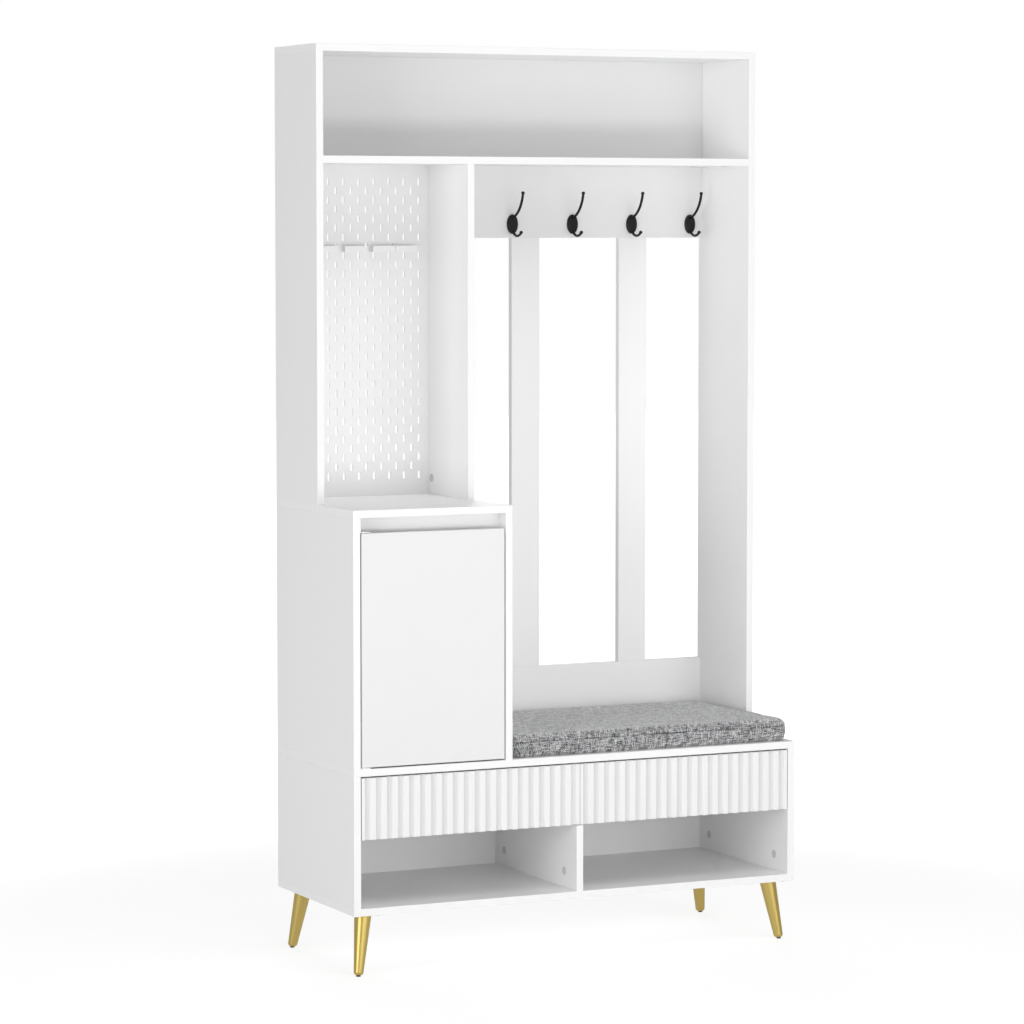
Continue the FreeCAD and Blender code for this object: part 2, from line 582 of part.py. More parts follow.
def shelf_pins():
    """Four pins under the cabinet shelf, with spare holes above and below them."""
    sides = (
        ("cabinet_side_left", LEFT_INNER, 1),
        ("cabinet_side_right", CABINET_INNER, -1),
    )
    pins = []
    for side, face, sign in sides:
        for y in (f"{SHELF_FRONT} + shelfPinInset", f"{SHELF_BACK} - shelfPinInset"):
            for step in (-1, 0, 1):
                z = f"{SHELF_UNDER} - shelfPinDiameter / 2 + {step} * shelfHolePitch"
                name = f"{side}_pin_{len(pins)}_{step + 1}"
                hole = ordered(f"{face} {signed(-sign)} shelfPinDepth", face, sign)
                hole_size = "shelfPinDiameter + 2 * fitClearance"
                let_in(cylinder(name + "_hole", "x", hole_size, *hole, {"y": y, "z": z}), side)
                if step == 0:
                    reach = f"{face} {signed(sign)} shelfPinReach"
                    span = ordered(hole[0] if sign > 0 else hole[1], reach, sign)
                    pin = cylinder(name, "x", "shelfPinDiameter", *span, {"y": y, "z": z})
            pins.append(pin)
    finish(combine("Part::Compound", "shelf_pin_set", pins), "shelf_pins")


def door():
    """The inset door, its pivots and washer, the brackets that hold them, and the catch."""
    panel_x = (f"{LEFT_INNER} + doorGap", f"{CABINET_INNER} - doorGap")
    panel_y = (FRONT, f"{FRONT} + boardThickness")
    BOARDS["door_panel"] = (panel_x, panel_y, (DOOR_BOTTOM, DOOR_TOP))
    axis = {"x": PIVOT_X, "y": PIVOT_Y}
    plate_top = f"{BENCH_TOP} + bracketWall"
    arm_bottom = f"{DOOR_TOP} + washerThickness"
    arm_top = f"{arm_bottom} + bracketWall"
    pin_low = (f"{BENCH_TOP} - boltAnchor", f"{DOOR_BOTTOM} + pivotReach")
    pin_high = (f"{DOOR_TOP} - pivotReach", f"{arm_top} + bracketWall")
    pins = []
    for name, span in (("pivot_low", pin_low), ("pivot_high", pin_high)):
        pins.append(cylinder(name, "z", "pivotDiameter", *span, axis))
        tight = cylinder(name + "_hole", "z", "pivotDiameter + 2 * fitClearance", *span, axis)
        let_in(tight, "door_panel", "door_washer")
    loose_size = "pivotDiameter + 2 * pivotClearance"
    low_bore = cylinder("pivot_low_bore", "z", loose_size, *pin_low, axis)
    high_bore = cylinder("pivot_high_bore", "z", loose_size, *pin_high, axis)
    let_in(low_bore, "bench_board", "door_bracket_bottom")
    let_in(high_bore, "door_bracket_top")
    finish(combine("Part::Compound", "pivot_set", pins), "door_pivots")
    washer = (f"{DOOR_BOTTOM} - washerThickness", DOOR_BOTTOM)
    finish_cut(cylinder("washer_blank", "z", "washerDiameter", *washer, axis), "door_washer")

    across = (LEFT_INNER, f"{LEFT_INNER} + bracketWidth")
    depth = (f"{FRONT} + edgeChamfer", f"{FRONT} + edgeChamfer + bracketDepth")
    finish_cut(box("bracket_low_plate", across, depth, (BENCH_TOP, plate_top)), "door_bracket_bottom")
    arm = box("bracket_high_arm", across, depth, (arm_bottom, arm_top))
    wall = (LEFT_INNER, f"{LEFT_INNER} + bracketWall")
    upright = box("bracket_high_upright", wall, depth, (arm_bottom, f"{CABINET_UNDER} - bracketWall"))
    angle = combine("Part::MultiFuse", "bracket_high", [arm, upright])
    finish_cut(angle, "door_bracket_top")

    strike_back = f"{panel_y[1]} + strikePlate"
    catch_top = f"{CABINET_UNDER} - catchDrop"
    catch_z = (f"{catch_top} - catchHeight", catch_top)
    catch_x = (f"{CABINET_INNER} - catchWidth", CABINET_INNER)
    strike_x = (f"{catch_x[0]} - strikePlate", f"{panel_x[1]} - edgeChamfer")
    finish(box("strike", strike_x, (panel_y[1], strike_back), catch_z), "door_strike")
    catch_y = (f"{strike_back} + catchGap", f"{strike_back} + catchGap + catchDepth")
    finish(box("catch", catch_x, catch_y, catch_z), "door_catch")


# Drawers

def fluted_front(side, left, right):
    """A drawer front with upright concave flutes, as a body with a pattern of pockets."""
    body = doc.addObject("PartDesign::Body", f"drawer_{side}_front_body")
    plane = next(f for f in body.Origin.OriginFeatures if f.Role == "XY_Plane")
    outline = body.newObject("Sketcher::SketchObject", f"front_{side}_outline")
    outline.AttachmentSupport = [(plane, "")]
    outline.MapMode = "FlatFace"
    corners = [FreeCAD.Vector(*point) for point in ((0, 0, 0), (10, 0, 0), (10, 10, 0), (0, 10, 0))]
    for start, end in zip(corners, corners[1:] + corners[:1]):
        outline.addGeometry(Part.LineSegment(start, end))
    for edge in range(4):
        outline.addConstraint(Sketcher.Constraint("Coincident", edge, 2, (edge + 1) % 4, 1))
    outline.addConstraint(Sketcher.Constraint("Coincident", 0, 1, -1, 1))
    for edge, kind in enumerate(("Horizontal", "Vertical", "Horizontal", "Vertical")):
        outline.addConstraint(Sketcher.Constraint(kind, edge))
    wide = outline.addConstraint(Sketcher.Constraint("DistanceX", 0, 1, 0, 2, 10))
    deep = outline.addConstraint(Sketcher.Constraint("DistanceY", 1, 1, 1, 2, 10))
    bind(outline, {f"Constraints[{wide}]": f"{right} - ({left})", f"Constraints[{deep}]": "frontThickness"})
    pad = body.newObject("PartDesign::Pad", f"front_{side}_pad")
    pad.Profile = outline
    bind(pad, {"Length": f"{DRAWER_TOP} - {DRAWER_BOTTOM}"})
    doc.recompute()
    solid_volume = body.Shape.Volume

    width = f"({right} - ({left}))"
    count = f"floor(({width} - 2 * fluteEndMargin + flutePitch - fluteWidth) / flutePitch)"
    radius = "((fluteWidth * fluteWidth / 4 + fluteDepth * fluteDepth) / (2 * fluteDepth))"
    groove = body.newObject("Sketcher::SketchObject", f"front_{side}_flute")
    groove.AttachmentSupport = [(plane, "")]
    groove.MapMode = "FlatFace"
    groove.addGeometry(Part.Circle(FreeCAD.Vector(10, -10, 0), FreeCAD.Vector(0, 0, 1), 10))
    round_by = groove.addConstraint(Sketcher.Constraint("Radius", 0, 10))
    along = groove.addConstraint(Sketcher.Constraint("DistanceX", -1, 1, 0, 3, 10))
    ahead = groove.addConstraint(Sketcher.Constraint("DistanceY", 0, 3, -1, 1, 10))
    bind(groove, {
        f"Constraints[{round_by}]": radius,
        f"Constraints[{along}]": f"({width} - ({count} - 1) * flutePitch) / 2",
        f"Constraints[{ahead}]": f"{radius} - fluteDepth",
    })
    pocket = body.newObject("PartDesign::Pocket", f"front_{side}_pocket")
    pocket.Profile = groove
    pocket.Type = 1
    pocket.Reversed = True
    doc.recompute()
    row = body.newObject("PartDesign::LinearPattern", f"front_{side}_flutes")
    row.Originals = [pocket]
    row.Direction = (groove, ["H_Axis"])
    bind(row, {"Length": f"({count} - 1) * flutePitch", "Occurrences": count})
    body.Tip = row
    bind(body, {"Placement.Base.x": left, "Placement.Base.y": FRONT, "Placement.Base.z": DRAWER_BOTTOM})
    doc.recompute()
    if body.Shape.Volume > solid_volume * 0.98:
        raise ValueError("the flutes did not cut the drawer front")
    finish(body, f"drawer_{side}_front")


def channel(name, web, open_side, height, y, wall, width):
    """A C channel along Y: its web's outer face at web, opening toward open_side."""
    outer = ordered(web, f"{web} {signed(open_side)} {width}", open_side)
    inner = ordered(f"{web} {signed(open_side)} {wall}", f"{web} {signed(open_side)} 2 * {width}", open_side)
    slab = box(name + "_slab", outer, y, height)
    hollow_z = (f"{height[0]} + {wall}", f"{height[1]} - {wall}")
    ends = (f"{y[0]} - 1", f"{y[1]} + 1")
    cut = doc.addObject("Part::Cut", name)
    cut.Base = slab
    cut.Tool = box(name + "_hollow", inner, ends, hollow_z)
    return cut


def drawer(side, front_left, front_right, left_wall, right_wall):
    """One drawer: fluted front, two sides, back, bottom, and its two pairs of runners."""
    fluted_front(side, front_left, front_right)
    bottom = f"({DRAWER_BOTTOM} + drawerLift)"
    top = f"({bottom} + drawerWallHeight)"
    back = f"({BACK} - backInset - panelThickness - drawerBackGap)"
    left, right = f"({left_wall} + runnerSpace)", f"({right_wall} - runnerSpace)"
    inner_left, inner_right = f"({left} + drawerWall)", f"({right} - drawerWall)"
    length = (DRAWER_BACK_OF_FRONT, back)
    prefix = f"drawer_{side}"
    sides = [
        box(f"{prefix}_side_1", (left, inner_left), length, (bottom, top)),
        box(f"{prefix}_side_2", (inner_right, right), length, (bottom, top)),
    ]
    finish(combine("Part::Compound", f"{prefix}_side_pair", sides), f"{prefix}_sides")
    inside = (inner_left, inner_right)
    back_board = box(f"{prefix}_back_board", inside, (f"{back} - drawerWall", back), (bottom, top))
    finish(back_board, f"{prefix}_back")
    floor = f"{bottom} + drawerFloorRise"
    floor_y = (DRAWER_BACK_OF_FRONT, f"{back} - drawerWall")
    floor_z = (floor, f"{floor} + panelThickness")
    finish(box(f"{prefix}_floor", inside, floor_y, floor_z), f"{prefix}_bottom")

    middle = f"({bottom} + drawerWallHeight / 2)"
    run = (f"{DRAWER_BACK_OF_FRONT} + runnerFrontGap", back)
    fixed_z = (f"{middle} - runnerHeight / 2", f"{middle} + runnerHeight / 2")
    play = "(runnerWall + runnerPlay)"
    sliding_z = (f"{fixed_z[0]} + {play}", f"{fixed_z[1]} - {play}")
    fixed = [
        channel(f"{prefix}_runner_1", left_wall, 1, fixed_z, run, "runnerWall", "runnerFlange"),
        channel(f"{prefix}_runner_2", right_wall, -1, fixed_z, run, "runnerWall", "runnerFlange"),
    ]
    reach = "(runnerSpace - runnerWall - 2 * runnerPlay)"
    sliding = [
        channel(f"{prefix}_slide_1", left, -1, sliding_z, run, "runnerWall", reach),
        channel(f"{prefix}_slide_2", right, 1, sliding_z, run, "runnerWall", reach),
    ]
    finish(combine("Part::Compound", f"{prefix}_runner_pair", fixed), f"{prefix}_runners")
    finish(combine("Part::Compound", f"{prefix}_slide_pair", sliding), f"{prefix}_slides")


def drawers():
    """Both drawers, and the notch that lets their fronts pass the divider."""
    half = "boardThickness / 2"
    drawer("left", f"{LEFT_INNER} + drawerGap", "-drawerMiddleGap / 2", LEFT_INNER, f"(-{half})")
    drawer("right", "drawerMiddleGap / 2", f"{RIGHT_INNER} - drawerGap", f"({half})", RIGHT_INNER)
    notch_y = (f"{FRONT} - 1", f"{DRAWER_BACK_OF_FRONT} + dividerGap")
    notch_z = (f"{DRAWER_BOTTOM} - dividerGap", f"{BENCH_UNDER} + 1")
    let_in(box("divider_notch", (f"-{half} - 1", f"{half} + 1"), notch_y, notch_z), "centre_divider")


# Coat hooks

def prong(points, wire, ball):
    """A round prong along the arc through three points, with a ball on its end."""
    path = Part.Wire([Part.Arc(*points).toShape()])
    start = path.Edges[0].firstVertex().Point
    direction = path.Edges[0].tangentAt(path.Edges[0].FirstParameter)
    section = Part.Wire([Part.Circle(start, direction, wire / 2).toShape()])
    return path.makePipeShell([section], True, True).fuse(Part.makeSphere(ball / 2, points[2]))


def coat_hook(number, x):
    """A double coat hook: an oval plate, a long upper prong, a short lower one and a stud."""
    half_width, half_height = size("hookPlateWidth") / 2, size("hookPlateHeight") / 2
    thickness, wire, ball = size("hookPlateThickness"), size("hookWire"), size("hookBall")
    oval = Part.Ellipse(FreeCAD.Vector(), half_height, half_width).toShape()
    plate = Part.Face(Part.Wire([oval])).extrude(FreeCAD.Vector(0, 0, thickness))
    rim = [edge for edge in plate.Edges if edge.BoundBox.ZMin > thickness - 0.01]
    plate = plate.makeFillet(min(size("hookPlateRound"), 0.9 * thickness), rim)
    plate.rotate(FreeCAD.Vector(), FreeCAD.Vector(0, 0, 1), 90)
    plate.rotate(FreeCAD.Vector(), FreeCAD.Vector(1, 0, 0), 90)
    reach, rise = size("hookReach"), size("hookTipRise")
    low_reach, low_rise = size("hookLowerReach"), half_height
    root = thickness / 2
    upper = [(root, half_height * 0.64), (reach * 0.64, rise * 0.46), (reach, rise)]
    dip, low_tip = -low_rise - wire * 0.75, -low_rise * 0.85
    lower = [(root, -half_height * 0.7), (low_reach * 0.54, dip), (low_reach, low_tip)]
    body = plate
    for points in (upper, lower):
        places = [FreeCAD.Vector(0, -out, up) for out, up in points]
        body = body.fuse(prong(places, wire, ball))
    stud_length, stud = size("hookStudLength"), size("hookStudDiameter")
    pin = Part.makeCylinder(stud / 2, stud_length + 1, FreeCAD.Vector(0, -1, 0), FreeCAD.Vector(0, 1, 0))
    body = body.fuse(pin).removeSplitter()
    hook = doc.addObject("Part::Feature", f"hook_{number}")
    hook.Shape = body
    bind(hook, {
        "Placement.Base.x": x,
        "Placement.Base.y": BOARD_BACK,
        "Placement.Base.z": f"{HOOK_BOARD_BOTTOM} + hookRise",
    })
    at = {"x": x, "z": f"{HOOK_BOARD_BOTTOM} + hookRise"}
    hole_size = "hookStudDiameter + 2 * fitClearance"
    hole = (BOARD_BACK, f"{BOARD_BACK} + hookStudLength")
    let_in(cylinder(f"hook_{number}_hole", "y", hole_size, *hole, at), "hook_board")
    finish(hook, f"coat_hook_{number}")


def coat_hooks():
    for number in range(1, 5):
        coat_hook(number, f"{RIGHT_INNER} - hookRightMargin - {4 - number} * hookPitch")


# Legs

def leg(label, side, end):
    """A splayed tapered leg: a loft from its plate to its rounded foot. Returns its corner."""
    body = doc.addObject("PartDesign::Body", label + "_body")
    plane = next(f for f in body.Origin.OriginFeatures if f.Role == "XY_Plane")
    rings = []
    foot = (f"{side} * legSplay", f"{end} * legSplay")
    for name, diameter, offset, level in (
        ("top", "legTopDiameter", ("0", "0"), "legHeight - legPlateThickness"),
        ("foot", "legFootDiameter", foot, "glideHeight"),
    ):
        ring = body.newObject("Sketcher::SketchObject", f"{label}_{name}")
        ring.AttachmentSupport = [(plane, "")]
        ring.MapMode = "FlatFace"
        ring.addGeometry(Part.Circle(FreeCAD.Vector(), FreeCAD.Vector(0, 0, 1), 10))
        ring.addConstraint(Sketcher.Constraint("Coincident", 0, 3, -1, 1))
        radius = ring.addConstraint(Sketcher.Constraint("Radius", 0, 10))
        bind(ring, {
            f"Constraints[{radius}]": f"{diameter} / 2",
            "AttachmentOffset.Base.x": offset[0], "AttachmentOffset.Base.y": offset[1],
            "AttachmentOffset.Base.z": level,
        })
        rings.append(ring)
    loft = body.newObject("PartDesign::AdditiveLoft", label + "_loft")
    loft.Profile = rings[0]
    loft.Sections = [rings[1]]
    loft.Ruled = True
    doc.recompute()
    lowest = min(range(len(loft.Shape.Edges)), key=lambda i: loft.Shape.Edges[i].BoundBox.ZMax)
    rounded = body.newObject("PartDesign::Fillet", label + "_round")
    rounded.Base = (loft, [f"Edge{lowest + 1}"])
    rounded.Radius = min(size("legFootRound"), 0.45 * size("legFootDiameter"))
    body.Tip = rounded
    x = f"({side} * (overallWidth / 2 - legSideInset))"
    y = f"({end} * (baseDepth / 2 - legFrontInset))"
    bind(body, {"Placement.Base.x": x, "Placement.Base.y": y})
    glide_at = {"x": f"{x} + {foot[0]}", "y": f"{y} + {foot[1]}"}
    pad = cylinder(label + "_glide_pad", "z", "glideDiameter", "0", "glideHeight", glide_at)
    stud_top = "glideHeight + glideStud"
    stud = cylinder(label + "_glide_stud", "z", "glideDiameter / 2", "glideHeight / 2", stud_top, glide_at)
    hole_size = "glideDiameter / 2 + 2 * fitClearance"
    let_in(cylinder(label + "_glide_hole", "z", hole_size, "glideHeight / 2", stud_top, glide_at), label)
    finish_cut(body, label)
    glide = combine("Part::MultiFuse", label + "_glide", [pad, stud])
    return glide, x, y


def legs():
    """Four legs with their plates, screws and glides."""
    glides, plates, screws = [], [], []
    half = "legPlateSize / 2"
    for label, side, end in (
        ("leg_front_left", -1, -1), ("leg_front_right", 1, -1),
        ("leg_rear_left", -1, 1), ("leg_rear_right", 1, 1),
    ):
        glide, x, y = leg(label, side, end)
        glides.append(glide)
        plate_z = ("legHeight - legPlateThickness", "legHeight")
        plate = box(label + "_plate_blank", (f"{x} - {half}", f"{x} + {half}"),
                    (f"{y} - {half}", f"{y} + {half}"), plate_z)
        holes = []
        for sx in (-1, 1):
            for sy in (-1, 1):
                at = {"x": f"{x} + {sx} * legScrewSpacing / 2", "y": f"{y} + {sy} * legScrewSpacing / 2"}
                name = f"{label}_screw_{len(holes) + 1}"
                tip_z = (plate_z[0], "legHeight + screwLength")
                shank = cylinder(name + "_shank", "z", "screwDiameter", *tip_z, at)
                head_z = (f"{plate_z[0]} - screwHeadHeight", plate_z[0])
                head = cylinder(name + "_head", "z", "screwHeadDiameter", *head_z, at)
                screws.append(combine("Part::MultiFuse", name, [shank, head]))
                hole_size = "screwDiameter + 2 * fitClearance"
                hole = cylinder(name + "_hole", "z", hole_size, *tip_z, at)
                holes.append(hole)
                let_in(hole, "bottom_board")
        cut = doc.addObject("Part::Cut", label + "_plate")
        cut.Base = plate
        cut.Tool = combine("Part::Compound", label + "_plate_holes", holes)
        plates.append(cut)
    finish(combine("Part::Compound", "glide_set", glides), "leg_glides")
    finish(combine("Part::Compound", "plate_set", plates), "leg_plates")
    finish(combine("Part::Compound", "screw_set", screws), "leg_screws")


def rounded_block(name, x, y, z):
    """A block with all its edges rounded like a cushion's."""
    soft = doc.addObject("Part::Fillet", name)
    soft.Base = box(name + "_blank", x, y, z)
    radius = min(size("cushionRound"), 0.45 * size("cushionThickness"))
    soft.Edges = [(edge, radius, radius) for edge in range(1, 13)]
    return soft


def cushion():
    """The seat cushion: a block that widens in front of the right side board."""
    left, inner = f"{CABINET_RIGHT} + cushionGap", f"{RIGHT_INNER} - cushionGap"
    front = f"{FRONT} + cushionFrontGap"
    z = (f"{BENCH_TOP} + softGap", f"{BENCH_TOP} + softGap + cushionThickness")
    main = rounded_block("cushion_main", (left, inner), (front, f"{BOARD_BACK} - cushionGap"), z)
    wide = (f"{inner} - 2 * cushionThickness", f"{RIGHT} - cushionEndGap")
    nose = rounded_block("cushion_nose", wide, (front, f"{UPPER_FRONT} - cushionGap"), z)
    finish(combine("Part::MultiFuse", "cushion_body", [main, nose]), "cushion")


def anchor_holes():
    """Pilot holes in the top board's back edge for an anti-tip strap."""
    for number, x in enumerate((f"{LEFT} + anchorInset", f"{RIGHT} - anchorInset")):
        at = {"x": x, "z": "overallHeight - boardThickness / 2"}
        span = (f"{BACK} - anchorHoleDepth", BACK)
        let_in(cylinder(f"anchor_hole_{number}", "y", "anchorHoleDiameter", *span, at), "top_board")


def check_and_export():
    """Refuse a failed or empty shape, then write every sub-part."""
    doc.recompute()
    failed = [thing.Label for thing in doc.Objects if {"Invalid", "Error"} & set(thing.State)]
    if failed:
        raise RuntimeError("failed objects: " + ", ".join(failed))
    os.makedirs("parts", exist_ok=True)
    shapes = {}
    for label in nodes:
        shape = doc.getObjectsByLabel(label)[0].Shape
        if shape.isNull() or not shape.isValid() or shape.Volume <= 0:
            raise RuntimeError("no valid shape: " + label)
        shapes[label] = shape
    for label, shape in shapes.items():
        shape.exportStep(f"parts/{label}.step")
        print(f"{label}: {len(shape.Solids)} solid(s), {shape.Volume / 1000:.1f} cm3")


join_boards()
thin_backs()
pegboard()
peg_trays()
shelf_pins()
door()
drawers()
coat_hooks()
legs()
cushion()
anchor_holes()
for board in BOARDS:
    finish_cut(board_blank(board), board)
finish(combine("Part::Compound", "cam_lock_set", cam_locks), "cam_locks")
finish(combine("Part::Compound", "cam_bolt_set", cam_bolts), "cam_bolts")
finish(combine("Part::Compound", "dowel_set", dowels), "dowels")
check_and_export()
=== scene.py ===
import json
import math

import bmesh
import bpy
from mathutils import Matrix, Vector, noise
from mathutils.bvhtree import BVHTree


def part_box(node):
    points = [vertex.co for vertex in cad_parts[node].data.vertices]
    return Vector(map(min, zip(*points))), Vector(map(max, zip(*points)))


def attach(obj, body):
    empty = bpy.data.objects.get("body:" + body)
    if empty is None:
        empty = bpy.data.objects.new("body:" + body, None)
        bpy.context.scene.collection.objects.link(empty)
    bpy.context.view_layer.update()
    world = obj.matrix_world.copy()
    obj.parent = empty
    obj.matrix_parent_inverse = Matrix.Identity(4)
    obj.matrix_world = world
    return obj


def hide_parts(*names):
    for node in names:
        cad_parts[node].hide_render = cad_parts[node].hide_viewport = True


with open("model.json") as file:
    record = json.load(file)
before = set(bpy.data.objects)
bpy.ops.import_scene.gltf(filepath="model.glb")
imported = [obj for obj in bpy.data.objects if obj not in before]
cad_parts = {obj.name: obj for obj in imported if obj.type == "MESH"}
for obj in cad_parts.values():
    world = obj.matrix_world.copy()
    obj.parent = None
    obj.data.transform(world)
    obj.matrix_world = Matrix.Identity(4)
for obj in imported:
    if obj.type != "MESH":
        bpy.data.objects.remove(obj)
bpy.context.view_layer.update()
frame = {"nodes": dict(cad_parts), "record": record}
nodes = frame["nodes"]
scene = bpy.context.scene
print("frame loaded with", len(nodes), "nodes")


# small helpers for the node trees

def newGroup(name, inputs, outputs):
    tree = bpy.data.node_groups.new(name, "ShaderNodeTree")
    for label, kind, start in inputs:
        socket = tree.interface.new_socket(label, in_out="INPUT", socket_type=kind)
        socket.default_value = start
    for label, kind in outputs:
        tree.interface.new_socket(label, in_out="OUTPUT", socket_type=kind)
    return tree, tree.nodes.new("NodeGroupInput"), tree.nodes.new("NodeGroupOutput")


def plug(tree, socket, value):
    if isinstance(value, bpy.types.NodeSocket):
        tree.links.new(value, socket)
    else:
        socket.default_value = value


def calc(tree, operation, *values):
    node = tree.nodes.new("ShaderNodeMath")
    node.operation = operation
    for socket, value in zip(node.inputs, values):
        plug(tree, socket, value)
    return node.outputs[0]


def vectorCalc(tree, operation, *values):
    node = tree.nodes.new("ShaderNodeVectorMath")
    node.operation = operation
    for socket, value in zip(node.inputs, values):
        plug(tree, socket, value)
    return node.outputs["Vector"]


def blendColour(tree, factor, first, second):
    node = tree.nodes.new("ShaderNodeMix")
    node.data_type = "RGBA"
    plug(tree, node.inputs[0], factor)
    plug(tree, node.inputs[6], first)
    plug(tree, node.inputs[7], second)
    return node.outputs[2]


def spread(tree, value, low, high, newLow, newHigh, smooth=False):
    node = tree.nodes.new("ShaderNodeMapRange")
    node.interpolation_type = "SMOOTHSTEP" if smooth else "LINEAR"
    for socket, number in zip(node.inputs, (value, low, high, newLow, newHigh)):
        plug(tree, socket, number)
    return node.outputs[0]


def noiseAt(tree, where, scale, detail=2.0, rough=0.5):
    node = tree.nodes.new("ShaderNodeTexNoise")
    node.inputs["Detail"].default_value = detail
    node.inputs["Roughness"].default_value = rough
    plug(tree, node.inputs["Vector"], where)
    plug(tree, node.inputs["Scale"], scale)
    return node.outputs["Fac"]


def objectSpace(tree):
    return tree.nodes.new("ShaderNodeTexCoord").outputs["Object"]


# effects that several finishes share

mottleMix = {"driftScale": 3.1, "cloudScale": 27.0, "driftShare": 0.65, "grainDull": 0.06}


def makeMottle(mix):
    # slow drift of tone, fine speckle and a small pebbled height
    tree, given, out = newGroup("mottle", [
        ("Colour", "NodeSocketColor", (0.8, 0.8, 0.8, 1)), ("Tone Drift", "NodeSocketFloat", 0.02),
        ("Speckle", "NodeSocketFloat", 0.02), ("Pebble Size", "NodeSocketFloat", 0.0012),
        ("Roughness", "NodeSocketFloat", 0.4), ("Roughness Drift", "NodeSocketFloat", 0.05),
    ], [("Colour", "NodeSocketColor"), ("Roughness", "NodeSocketFloat"), ("Height", "NodeSocketFloat")])
    where = objectSpace(tree)
    fineScale = calc(tree, "DIVIDE", 1.0, given.outputs["Pebble Size"])
    drift = noiseAt(tree, where, mix["driftScale"], 3.0)
    cloud = noiseAt(tree, where, mix["cloudScale"], 2.0)
    fine = noiseAt(tree, where, fineScale, 1.0)
    slow = calc(tree, "ADD", calc(tree, "MULTIPLY", drift, mix["driftShare"]),
                calc(tree, "MULTIPLY", cloud, 1 - mix["driftShare"]))
    slow = calc(tree, "SUBTRACT", slow, 0.5)
    grains = calc(tree, "SUBTRACT", fine, 0.5)
    tone = calc(tree, "MULTIPLY_ADD", slow, given.outputs["Tone Drift"], 1.0)
    tone = calc(tree, "MULTIPLY_ADD", grains, given.outputs["Speckle"], tone)
    shade = vectorCalc(tree, "SCALE", given.outputs["Colour"])
    tree.links.new(tone, shade.node.inputs["Scale"])
    tree.links.new(shade, out.inputs["Colour"])
    dull = calc(tree, "MULTIPLY_ADD", slow, given.outputs["Roughness Drift"], given.outputs["Roughness"])
    tree.links.new(calc(tree, "MULTIPLY_ADD", grains, mix["grainDull"], dull), out.inputs["Roughness"])
    tree.links.new(fine, out.inputs["Height"])
    return tree


brushMix = {"driftScale": 38.0, "lineRough": 0.6}


def makeBrushing(mix):
    # hairlines left by polishing, long one way and very fine the other
    tree, given, out = newGroup("brushing", [
        ("Colour", "NodeSocketColor", (0.8, 0.8, 0.8, 1)),
        ("Line Stretch", "NodeSocketVector", (60, 60, 2400)),
        ("Tone Drift", "NodeSocketFloat", 0.1), ("Roughness", "NodeSocketFloat", 0.3),
        ("Roughness Drift", "NodeSocketFloat", 0.1),
    ], [("Colour", "NodeSocketColor"), ("Roughness", "NodeSocketFloat"), ("Height", "NodeSocketFloat")])
    where = objectSpace(tree)
    stretched = vectorCalc(tree, "MULTIPLY", where, given.outputs["Line Stretch"])
    lines = noiseAt(tree, stretched, 1.0, 2.0, mix["lineRough"])
    drift = noiseAt(tree, where, mix["driftScale"], 3.0)
    centred = calc(tree, "SUBTRACT", lines, 0.5)
    tone = calc(tree, "MULTIPLY_ADD", centred, given.outputs["Tone Drift"], 1.0)
    shade = vectorCalc(tree, "SCALE", given.outputs["Colour"])
    tree.links.new(tone, shade.node.inputs["Scale"])
    tree.links.new(shade, out.inputs["Colour"])
    mixed = calc(tree, "ADD", centred, calc(tree, "SUBTRACT", drift, 0.5))
    dull = calc(tree, "MULTIPLY_ADD", mixed, given.outputs["Roughness Drift"], given.outputs["Roughness"])
    tree.links.new(dull, out.inputs["Roughness"])
    tree.links.new(lines, out.inputs["Height"])
    return tree


bandWidths = {"line": 0.00022, "rim": 0.004}


def makeEdgeBand(widths):
    # masks of the hairline where an edge band meets the face and of the rim, for a board between two corners
    tree, given, out = newGroup("edgeBand", [
        ("Low Corner", "NodeSocketVector", (0, 0, 0)), ("High Corner", "NodeSocketVector", (1, 1, 1)),
        ("Skip Axis", "NodeSocketVector", (0, 0, 0)), ("Band", "NodeSocketFloat", 0.001),
    ], [("Line", "NodeSocketFloat"), ("Rim", "NodeSocketFloat")])
    where = objectSpace(tree)
    fromLow = vectorCalc(tree, "SUBTRACT", where, given.outputs["Low Corner"])
    fromHigh = vectorCalc(tree, "SUBTRACT", given.outputs["High Corner"], where)
    near = vectorCalc(tree, "ADD", vectorCalc(tree, "MINIMUM", fromLow, fromHigh), given.outputs["Skip Axis"])
    parts = tree.nodes.new("ShaderNodeSeparateXYZ")
    tree.links.new(near, parts.inputs[0])
    reach = calc(tree, "MINIMUM", calc(tree, "MINIMUM", parts.outputs[0], parts.outputs[1]), parts.outputs[2])
    away = calc(tree, "ABSOLUTE", calc(tree, "SUBTRACT", reach, given.outputs["Band"]))
    tree.links.new(spread(tree, away, 0.0, widths["line"], 1.0, 0.0, smooth=True), out.inputs["Line"])
    tree.links.new(spread(tree, reach, 0.0, widths["rim"], 1.0, 0.0, smooth=True), out.inputs["Rim"])
    return tree


mottle = makeMottle(mottleMix)
brushing = makeBrushing(brushMix)
edgeBand = makeEdgeBand(bandWidths)


def useGroup(tree, group, **values):
    node = tree.nodes.new("ShaderNodeGroup")
    node.node_tree = group
    for socket in node.inputs:
        key = socket.name[0].lower() + socket.name[1:].replace(" ", "")
        if key in values:
            plug(tree, socket, values[key])
    return node


def newMaterial(name):
    material = bpy.data.materials.new(name)
    material.use_nodes = True
    tree = material.node_tree
    return material, tree, tree.nodes["Principled BSDF"]


def addBump(tree, shader, height, depth):
    bump = tree.nodes.new("ShaderNodeBump")
    bump.inputs["Distance"].default_value = depth
    tree.links.new(height, bump.inputs["Height"])
    tree.links.new(bump.outputs[0], shader.inputs["Normal"])


# moulded, coated and lacquered finishes

